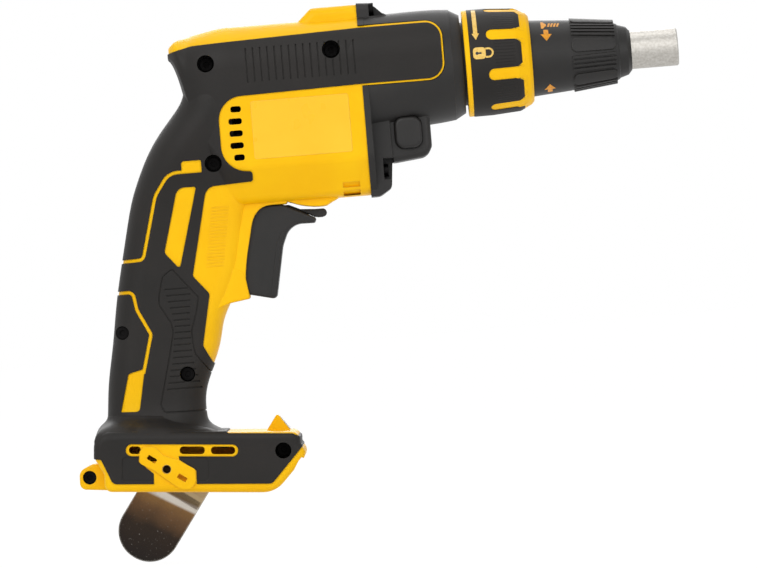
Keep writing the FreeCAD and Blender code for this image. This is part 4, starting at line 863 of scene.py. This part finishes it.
@dataclass
class Housing:
    """Clamshell, overmould and gear case with the bare rating plate; a recess is X, Z and radius."""

    shop: Shop
    label_low: Point = (-214.7, -39.5)
    label_high: Point = (-166.0, -10.7)
    label_corner: float = 1.2
    label_lift: float = 0.16
    recesses: tuple[Place, ...] = (
        (-235.3, 9.7, 4.3), (-172.7, 11.8, 4.5), (-235.5, -39.8, 4.3), (-287.8, -120.0, 3.4),
        (-257.0, -143.0, 3.8), (-212.3, -184.3, 4.0), (-309.9, -190.5, 3.4))
    recess_slack: float = 0.1
    recess_end: float = 1.0

    def build(self) -> None:
        """Dress the housing's nodes, blacken the recess walls and add the rating plate."""
        shop = self.shop
        shop.finish_nodes(YELLOW_NYLON, "right_housing_shell", "left_housing_shell")
        shop.finish_nodes(BLACK_ELASTOMER, "right_grip_overmould", "left_grip_overmould")
        shop.finish_nodes(BLACK_NYLON, "gear_case", "reversing_button", "trigger_lock_lever",
                          "trigger_switch", "terminal_block", "motor_fan")
        shop.finish_nodes(TRIGGER_NYLON, "trigger")
        shop.finish_nodes(OXIDE_STEEL, "housing_screws", "gear_case_screws", "belt_hook_screw")
        self.blacken_recess_walls()
        outline = rounded_box(self.label_low, self.label_high, self.label_corner)
        plate = plate_mesh("rating_plate", [outline], shop.drape("right_housing_shell").from_side(Side.RIGHT),
                           self.label_lift, sink=0.1, cell=6.0)
        shop.add(plate, "housing", "yellow_nylon", LABEL_FILM)

    def blacken_recess_walls(self) -> None:
        """Give the walls of the screw recesses the black overmould's material."""
        mesh = self.shop.nodes["right_housing_shell"].data
        mesh.materials.append(self.shop.paint.material(BLACK_ELASTOMER))
        for face in mesh.polygons:
            x, y, z = (number / MM for number in face.center)
            near = any(math.hypot(x - u, z - v) < radius + self.recess_slack
                       for u, v, radius in self.recesses)
            if near and y < self.recess_end:
                face.material_index = 1


@dataclass
class TriggerFront:
    """Small forms round the trigger: the shell's lips and swelling, bands, the lever's pad, web and seals."""

    shop: Shop
    lip_start: tuple[Point, ...] = ((-199.5, -60.2), (-201.5, -62.45))
    lip_bends: tuple[tuple[Point, Point, Point, Point], ...] = (
        ((-209.0, -62.45), (-215.0, -62.45), (-218.2, -67.0), (-219.4, -72.5)),
        ((-219.4, -72.5), (-221.2, -81.0), (-225.0, -93.0), (-224.4, -104.0)))
    lip_end: tuple[Point, ...] = ((-233.0, -104.0), (-233.0, -58.0), (-199.5, -58.0))
    lip_steps: int = 9
    lip_spans: tuple[Point, ...] = ((-12.1, -14.15), (12.1, 14.15))
    swelling: tuple[Point, ...] = (
        (-200.7, -61.4), (-198.9, -62.0), (-196.6, -62.9), (-194.0, -63.7), (-191.4, -64.3), (-188.3, -64.8),
        (-185.3, -65.0), (-182.8, -65.0), (-181.0, -64.7), (-179.6, -63.9), (-178.2, -63.1), (-176.8, -62.5),
        (-174.6, -61.2), (-174.6, -58.0), (-200.7, -58.0))
    swelling_spans: tuple[Point, ...] = ((-13.9, -8.0), (8.0, 13.9))
    shell_soft: float = 0.6
    band_top: float = -76.5
    band_foot: float = -107.4
    band_steps: int = 14
    band_probe: float = -10.0
    band_inset: float = 0.9
    band_width: float = 2.2
    band_lift: float = 0.35
    pad: tuple[Point, ...] = (
        (-194.4, -65.75), (-191.5, -66.25), (-186.5, -66.2), (-183.2, -66.2), (-182.2, -66.75),
        (-181.7, -68.0), (-182.0, -69.2), (-182.7, -70.0), (-183.9, -70.4), (-186.0, -70.35),
        (-187.6, -69.98), (-190.2, -68.72), (-194.3, -66.7))
    pad_half: float = 7.3
    pad_soft: float = 0.4
    web_low: Point = (-172.6, -60.75)
    web_high: Point = (-163.6, -59.4)
    web_spans: tuple[Point, ...] = ((-11.0, 3.0),)
    button_corner: float = 4.5
    seal_gap: float = 0.05
    seal_reach: float = 0.9
    seal_spans: tuple[Point, ...] = ((-16.9, -16.3), (16.3, 16.9))

    def build(self) -> None:
        """Add the forms, each on the body that carries it."""
        add = self.shop.add
        add(self.lips(), "housing", "yellow_nylon", YELLOW_NYLON)
        flanks = side_slabs("swelling_flanks", self.swelling, self.swelling_spans, self.shell_soft)
        add(flanks, "housing", "yellow_nylon", YELLOW_NYLON)
        self.band_trigger()
        pad = side_slabs("lever_pad", self.pad, [(-self.pad_half, self.pad_half)], self.pad_soft)
        add(pad, "lock_lever", "black_nylon", BLACK_NYLON)
        (rear, foot), (front, top) = self.web_low, self.web_high
        corners = [(rear, foot), (front, foot), (front, top), (rear, top)]
        web = side_slabs("clip_window_web", corners, self.web_spans)
        add(web, "housing", "yellow_nylon", YELLOW_NYLON)
        add(self.button_seals(), "housing", "black_overmould", BLACK_ELASTOMER)

    def lips(self) -> Piece:
        """Let the clamshell's front wrap the trigger's top and rear on both sides.

        Returns:
            The mesh object.
        """
        corner, flank = (geometry.interpolate_bezier(*(Vector((x, z, 0)) for x, z in bend), self.lip_steps)
                         for bend in self.lip_bends)
        edge = [(point.x, point.y) for point in corner + flank[1:]]
        return side_slabs("trigger_surround", [*self.lip_start, *edge, *self.lip_end], self.lip_spans,
                          self.shell_soft)

    def band_trigger(self) -> None:
        """Raise a band along the trigger's front edge on both sides."""
        drape = self.shop.drape("trigger")
        heights = [self.band_top + (self.band_foot - self.band_top) * step / self.band_steps
                   for step in range(self.band_steps + 1)]
        fronts = [(drape.front(height, self.band_probe) - self.band_inset, height) for height in heights]
        outline = fronts + [(x - self.band_width, z) for x, z in reversed(fronts)]
        for side in Side:
            band = plate_mesh(f"{side.name.lower()}_trigger_band", [outline], drape.from_side(side),
                              self.band_lift, sink=0.2, cell=2.0)
            self.shop.add(band, "trigger", "black_nylon", BLACK_NYLON)

    def button_seals(self) -> Piece:
        """Seal the reversing button's passage on both sides.

        Returns:
            The mesh object.
        """
        low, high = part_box("reversing_button")
        inner, outer = (rounded_box((low[0] / MM - grow, low[2] / MM - grow),
                                    (high[0] / MM + grow, high[2] / MM + grow), self.button_corner + grow)
                        for grow in (self.seal_gap, self.seal_reach))
        return ring_slabs("reversing_button_seals", outer, inner, self.seal_spans)


@dataclass
class Handle:
    """The overmould's soft run-out over the foot, and fine ribs; a rib is rear X, front X and Z."""

    shop: Shop
    flare_middle: Place = (-273.5, 0.0, -169.3)
    flare_slope: float = 0.084
    flare_start: float = 46.0
    flare_steps: int = 72
    flare_fade: int = 10
    flare_rise: float = 7.4
    flare_drop: float = 6.0
    flare_heel: float = 3.5
    flare_rows: int = 12
    flare_neck: Point = (0.08, 0.4)
    flare_toe: float = 0.85
    flare_lift: float = 0.04
    flare_root: float = 3.0
    flare_tuck: float = 0.05
    rib_rows: int = 19
    rib_top: Place = (-238.3, -229.6, -61.6)
    rib_foot: Place = (-243.4, -234.6, -90.6)
    rib_width: float = 0.55
    rib_corner: float = 0.45
    rib_lift: float = 0.14

    def build(self) -> None:
        """Add the run-out and the ribs of both sides."""
        self.flare_foot()
        for side in Side:
            self.rib_grip(side)

    def flare_foot(self) -> None:
        """Let the overmould run out over the foot's heel and sides, as one piece with a smooth skin."""
        drape = self.shop.drape("right_grip_overmould", "left_grip_overmould", "right_housing_shell",
                                "left_housing_shell")
        solid = bmesh.new()
        loops = []
        for step in range(self.flare_steps + 1):
            turn = math.radians(self.flare_start + (360 - 2 * self.flare_start) * step / self.flare_steps)
            away = min(step, self.flare_steps - step) / self.flare_fade
            loop = self.flare_section(drape, Vector((math.cos(turn), math.sin(turn), 0)), max(0.0, 1 - away))
            loops.append([solid.verts.new(place) for place in loop])
        for first, second in zip(loops, loops[1:]):
            for index in range(len(first)):
                face = solid.faces.new([first[index - 1], first[index], second[index], second[index - 1]])
                face.smooth = 0 < index < self.flare_rows
        for loop in (loops[0], loops[-1]):
            solid.faces.new(loop)
        self.shop.add(as_object("foot_flare", solid), "housing", "black_overmould", BLACK_ELASTOMER)

    def flare_section(self, drape: Drape, out: Vector, sunk: float) -> list[Vector]:
        """Draw the flare's section in one upright plane.

        Args:
            drape: the housing's surface.
            out: level direction away from the handle.
            sunk: share of the flare's root that it sinks under the surface, where it runs out.

        Returns:
            A closed loop of places, in metres.
        """
        middle, root = Vector(self.flare_middle) * MM, self.flare_root * MM
        ends = []
        for rise in (self.flare_rise, -self.flare_drop - self.flare_heel * max(0.0, -out.x)):
            guess = drape.inward(middle, out, middle.z + rise * MM)
            height = middle.z + rise * MM - self.flare_slope * (guess.x - middle.x)
            ends.append(drape.inward(middle, out, height))
        top, foot = ends
        tall = Vector((0, 0, top.z - foot.z))
        wide = out * (foot - top).dot(out)
        curve = geometry.interpolate_bezier(top, top + self.flare_neck[0] * wide - self.flare_neck[1] * tall,
                                            foot + self.flare_toe * tall, foot, self.flare_rows)
        proud = (out + Vector((0, 0, 1))).normalized()
        skin = [drape.over(place, proud, self.flare_lift * MM) for place in curve[1:-1]]
        rim = self.flare_tuck * root * out
        loop = [top - rim, *skin, foot - rim, foot - root * out, top - root * out]
        return [place - proud * (sunk * root) for place in loop]

    def rib_grip(self, side: Side) -> None:
        """Raise fine ribs on the yellow front of the grip.

        Args:
            side: the side that gets them.
        """
        ribs: list[list[Point]] = []
        half = self.rib_width / 2
        for row in range(self.rib_rows):
            share = row / (self.rib_rows - 1)
            rear, front, height = (top + (foot - top) * share
                                   for top, foot in zip(self.rib_top, self.rib_foot))
            ribs.append(rounded_box((rear, height - half), (front, height + half),
                                    self.rib_width * self.rib_corner, steps=2))
        name = side.name.lower()
        onto = self.shop.drape(f"{name}_housing_shell").from_side(side)
        piece = plate_mesh(f"{name}_grip_ribs", ribs, onto, self.rib_lift, sink=0.15, cell=1.5)
        self.shop.add(piece, "housing", "yellow_nylon", YELLOW_NYLON)


@dataclass
class Nose:
    """Nose tube, depth adjuster and lock collar with their printed signs."""

    shop: Shop
    ink_lift: float = 0.07
    ink_sink: float = 0.1
    key_lift: float = 0.05
    collar_radius: float = 26.6
    adjuster_radius: float = 18.4
    finger_count: int = 8
    finger_angle: float = 29.0
    finger_half: float = 3.05
    pocket_corner: float = 5.4
    pocket_front: float = -77.1
    pocket_steps: int = 6
    pocket_lap: float = 0.4

    def build(self) -> None:
        """Dress the nose, round the collar's corners and print the signs."""
        shop = self.shop
        shop.finish_nodes(NOSE_STEEL, "nose_tube")
        shop.finish_nodes(BLACK_NYLON, "depth_adjuster")
        shop.finish_nodes(YELLOW_NYLON, "lock_collar")
        shop.finish_nodes(LINED_ELASTOMER, "lock_collar_grips")
        collar = shop.drape("lock_collar_grips", "lock_collar").round_axis(self.collar_radius)
        self.round_collar(collar)
        self.print_collar(collar)
        self.print_adjuster(shop.drape("depth_adjuster").round_axis(self.adjuster_radius))

    def round_collar(self, around: Onto) -> None:
        """Round the corners between the collar's fingers and its front band.

        Args:
            around: lays the outlines on the collar.
        """
        step = 360.0 / self.finger_count
        reach = self.collar_radius * math.radians(step / 2) - self.finger_half
        radius, front, lap = self.pocket_corner, self.pocket_front, self.pocket_lap
        turns = [math.radians(90.0 * part / self.pocket_steps) for part in range(self.pocket_steps + 1)]
        fillets: list[list[Point]] = []
        for index in range(self.finger_count):
            middle = self.collar_radius * math.radians(self.finger_angle + step * (index + 0.5))
            for sign in (-1, 1):
                bow = [(front - radius + radius * math.sin(turn),
                        middle + sign * (reach - radius + radius * math.cos(turn))) for turn in turns]
                fillets.append(bow + [(front + lap, middle + sign * (reach - radius)),
                                      (front + lap, middle + sign * (reach + lap)),
                                      (front - radius, middle + sign * (reach + lap))])
        piece = plate_mesh("collar_corner_fillets", fillets, around, lift=0.1, sink=0.3, cell=1.2)
        self.shop.add(piece, "lock_collar", "yellow_nylon", YELLOW_NYLON)

    def print_collar(self, around: Onto) -> None:
        """Print the turning arrow and the padlock on the collar's grips.

        Args:
            around: lays the outlines on the collar.
        """
        shaft = [(-101.7, 14.4), (-99.6, 14.4), (-99.6, 35.5), (-101.7, 35.5)]
        head = [(-102.5, 14.4), (-100.65, 10.8), (-98.8, 14.4)]
        self.print_sign("collar_turn_arrow", [shaft, head], around, "lock_collar", CREAM_INK)
        body = rounded_box((-102.6, 0.9), (-96.3, 6.8), 1.7)
        shackle = arc_band((-94.9, 3.85), 2.1, 0.9, -90, 90)
        bars = [[(-96.4, 5.5), (-94.9, 5.5), (-94.9, 6.4), (-96.4, 6.4)],
                [(-96.4, 1.3), (-94.9, 1.3), (-94.9, 2.2), (-96.4, 2.2)]]
        self.print_sign("collar_padlock_sign", [body, shackle, *bars], around, "lock_collar", CREAM_INK)
        corners = 14
        hole = round_points((-100.6, 3.85), 0.8, (2 * math.pi * index / corners for index in range(corners)))
        slot = [(-100.3, 3.55), (-98.4, 3.35), (-98.4, 4.35), (-100.3, 4.15)]
        keyhole = plate_mesh("collar_padlock_keyhole", [hole, slot], around, self.ink_lift + self.key_lift,
                             -self.key_lift)
        self.shop.add(keyhole, "lock_collar", "black_overmould", DARK_INK)

    def print_adjuster(self, around: Onto) -> None:
        """Print the two arrows and the screw sign on the adjuster's smooth rear.

        Args:
            around: lays the outlines on the adjuster.
        """
        down = [[(-68.2, 11.7), (-65.4, 7.7), (-62.6, 11.7)],
                [(-66.6, 11.7), (-64.2, 11.7), (-64.2, 14.6), (-66.6, 14.6)]]
        up = [[(-68.2, -19.6), (-62.6, -19.6), (-65.4, -15.6)],
              [(-66.6, -22.6), (-64.2, -22.6), (-64.2, -19.6), (-66.6, -19.6)]]
        self.print_sign("adjuster_arrows", down + up, around, "depth_adjuster", AMBER_INK)
        pitch = 1.5
        threads = [[(-64.6 + pitch * turn, 17.0), (-63.6 + pitch * turn, 17.0), (-62.8 + pitch * turn, 20.4),
                    (-63.8 + pitch * turn, 20.4)] for turn in range(4)]
        head = [(-67.6, 15.6), (-66.6, 15.6), (-65.0, 17.9), (-65.0, 19.5), (-66.6, 21.8), (-67.6, 21.8)]
        self.print_sign("adjuster_screw_sign", [*threads, head], around, "depth_adjuster", AMBER_INK)

    def print_sign(self, name: str, outlines: Sequence[Sequence[Point]], around: Onto, body: str,
                   ink: PrintedMark) -> None:
        """Print one sign, as a film of ink.

        Args:
            name: the sign's name.
            outlines: its flat outlines in X and arc length.
            around: lays them on the surface.
            body: the body it moves with.
            ink: its ink.
        """
        sign = plate_mesh(name, outlines, around, self.ink_lift, self.ink_sink)
        self.shop.add(sign, body, "yellow_nylon", ink)


@dataclass
class Works:
    """Everything inside, the foot's fittings and the belt hook, with the travel that closes each spring."""

    shop: Shop
    clutch_travel: float = 4.0
    trigger_travel: float = 8.0

    def build(self) -> None:
        """Dress motor, gears, clutch, switch gear, terminals and hook, and fit the springs."""
        shop = self.shop
        shop.finish_nodes(GROUND_STEEL, "spindle", "clutch_jaw", "thrust_washer", "bit_holder", "drive_gear",
                          "motor_pinion", "motor_shaft", "rear_bearing", "front_bearing", "lever_pin")
        self.fit_spring("clutch_spring", self.clutch_travel)
        self.fit_spring("trigger_spring", self.trigger_travel)
        shop.finish_nodes(LAMINATED_STEEL, "stator_core", "rotor_core", "bit_holder_magnet")
        shop.finish_nodes(ENAMELLED_COPPER, "stator_windings")
        shop.finish_nodes(SINTERED_BRONZE, "spindle_bush")
        shop.finish_nodes(TURNED_BRASS, "hook_inserts", "terminal_blades")
        shop.finish_nodes(DIE_CAST, "gear_case_cover")
        shop.finish_nodes(BLACK_ELASTOMER, "spindle_seal")
        shop.finish_nodes(GREY_RESIN, "motor_controller")
        shop.finish_nodes(BOARD, "led_board")
        shop.finish_nodes(LENS, "led_lens")
        shop.finish_nodes(HOOK_STEEL, "belt_hook")

    def fit_spring(self, node: str, travel: float) -> None:
        """Stand a coil in for a spring's solid, and hide the solid.
            travel: not used. the joint's travel, in millimetres.
        """
        coil = bpy.data.objects.new(node + "_coil", self.shop.nodes[node].data.copy())
        bpy.context.scene.collection.objects.link(coil)
        self.shop.add(coil, "housing", "machined_steel", SPRING_WIRE)
        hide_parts(node)
        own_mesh(coil)


@dataclass(frozen=True)
class Lamp:
    """A square area light, in metres and watts."""

    name: str
    place: Place
    aim: Place
    size: float
    power: float


@dataclass
class Studio:
    """Pale floor, soft light and the photograph's camera."""

    view_width: float = 378.5
    aim: Place = (-158.7, 0.0, -106.1)
    roll_degrees: float = 4.7
    lens_mm: float = 300.0
    sensor_mm: float = 36.0
    clip_m: float = 50.0
    floor_gap: float = 0.4
    floor_half_m: float = 12.0
    floor_share: float = 0.95
    floor_glow: float = 1.03
    lamps: tuple[Lamp, ...] = (
        Lamp("key_light", (-0.75, -1.3, 0.85), (-0.16, 0, -0.08), size=1.1, power=13.0),
        Lamp("fill_light", (0.8, -1.5, 0.2), (-0.16, 0, -0.1), size=1.2, power=6.5),
        Lamp("top_light", (-0.2, 0.3, 1.3), (-0.16, 0, -0.05), size=1.0, power=4.0),
        Lamp("left_light", (-0.3, 1.6, 0.6), (-0.16, 0, -0.1), size=1.2, power=11.0))

    def build(self, lowest: float) -> None:
        """Set up the stage.

        Args:
            lowest: height of the object's lowest point, in metres.
        """
        self.add_camera()
        self.add_floor(lowest)
        for lamp in self.lamps:
            self.add_light(lamp)
        self.add_world()
        bpy.context.scene.view_settings.view_transform = "Standard"

    def add_camera(self) -> None:
        """Look at the tool's right side, rolled as the photograph is."""
        data = bpy.data.cameras.new("photo_camera")
        data.lens = self.lens_mm
        data.sensor_width = self.sensor_mm
        data.clip_end = self.clip_m
        camera = bpy.data.objects.new("photo_camera", data)
        roll = math.radians(self.roll_degrees)
        right = Vector((math.cos(roll), 0, -math.sin(roll)))
        up = Vector((math.sin(roll), 0, math.cos(roll)))
        back = Vector((0, -1, 0))
        distance = self.lens_mm / self.sensor_mm * self.view_width
        place = (Vector(self.aim) + back * distance) * MM
        camera.matrix_world = Matrix.Translation(place) @ Matrix((right, up, back)).transposed().to_4x4()
        bpy.context.scene.collection.objects.link(camera)
        bpy.context.scene.camera = camera

    def add_floor(self, lowest: float) -> None:
        """Lay a wide pale floor just under the object.

        Args:
            lowest: height of the object's lowest point, in metres.
        """
        mesh = bpy.data.meshes.new("studio_floor")
        half, z = self.floor_half_m, lowest - self.floor_gap * MM
        corners = [(-half, -half, z), (half, -half, z), (half, half, z), (-half, half, z)]
        mesh.from_pydata(corners, [], [(0, 1, 2, 3)])
        floor = bpy.data.objects.new("studio_floor", mesh)
        bpy.context.scene.collection.objects.link(floor)
        material, tree, output = new_tree("pale_floor_paint")
        share = add_node(tree, "ShaderNodeMath", {"operation": "MULTIPLY"}, i0=self.seen(tree),
                         i1=self.floor_share)
        paint = add_node(tree, "ShaderNodeBsdfDiffuse", Color=linear("#FAFAFA"))
        glow = add_node(tree, "ShaderNodeEmission", Color=linear("#FFFFFF"), Strength=self.floor_glow)
        mixed = add_node(tree, "ShaderNodeMixShader", Fac=share, i1=paint, i2=glow)
        tree.links.new(mixed.outputs["Shader"], output.inputs["Surface"])
        mesh.materials.append(material)
        floor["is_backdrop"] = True

    @staticmethod
    def seen(tree: Tree) -> Node:
        """Tell where a background is looked at, straight, in a reflection or through a clear piece.

        Args:
            tree: the node tree.

        Returns:
            A node whose value is 1 for such rays and 0 for those that carry light.
        """
        path = add_node(tree, "ShaderNodeLightPath").outputs
        mirrored = add_node(tree, "ShaderNodeMath", {"operation": "MAXIMUM"}, i0=path["Is Camera Ray"],
                            i1=path["Is Glossy Ray"])
        return add_node(tree, "ShaderNodeMath", {"operation": "MAXIMUM"}, i0=mirrored,
                        i1=path["Is Transmission Ray"])

    @staticmethod
    def add_light(lamp: Lamp) -> None:
        """Hang one light.

        Args:
            lamp: the light.
        """
        data = bpy.data.lights.new(lamp.name, "AREA")
        data.shape = "SQUARE"
        data.size = lamp.size
        data.energy = lamp.power
        hung = bpy.data.objects.new(lamp.name, data)
        hung.location = lamp.place
        hung.rotation_euler = (Vector(lamp.aim) - Vector(lamp.place)).to_track_quat("-Z", "Y").to_euler()
        bpy.context.scene.collection.objects.link(hung)

    def add_world(self) -> None:
        """Surround the tool with soft grey light that the camera sees as white."""
        world = bpy.data.worlds.new("studio_surround")
        world.use_nodes = True
        tree = world.node_tree
        tree.nodes.clear()
        output = tree.nodes.new("ShaderNodeOutputWorld")
        place = add_node(tree, "ShaderNodeTexCoord").outputs["Generated"]
        height = add_node(tree, "ShaderNodeSeparateXYZ", Vector=place).outputs["Z"]
        dome = add_node(tree, "ShaderNodeMapRange", Value=height, From_Min=-0.4, From_Max=0.9, To_Min=0.12,
                        To_Max=0.58)
        level = add_node(tree, "ShaderNodeMath", {"operation": "MAXIMUM"}, i0=dome, i1=self.seen(tree))
        sky = add_node(tree, "ShaderNodeBackground", Color=linear("#FFFFFF"), Strength=level)
        tree.links.new(sky.outputs["Background"], output.inputs["Surface"])
        bpy.context.scene.world = world


def corners_of(bounds: Iterable[Iterable[float]]) -> list[list[float]]:
    """Write a box as plain lists of numbers."""
    return [[float(number) for number in corner] for corner in bounds]


def main() -> None:
    """Load the frame, measure its box, dress each sub-assembly and set up the studio under it."""
    logging.basicConfig(level=logging.INFO, format="%(message)s")
    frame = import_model()
    solid_box = corners_of(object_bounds())
    shop = Shop(frame["nodes"])
    for assembly in (Housing, TriggerFront, Handle, Nose, Works):
        assembly(shop).build()
    Studio().build(solid_box[0][2])


if __name__ == "__main__":
    main()
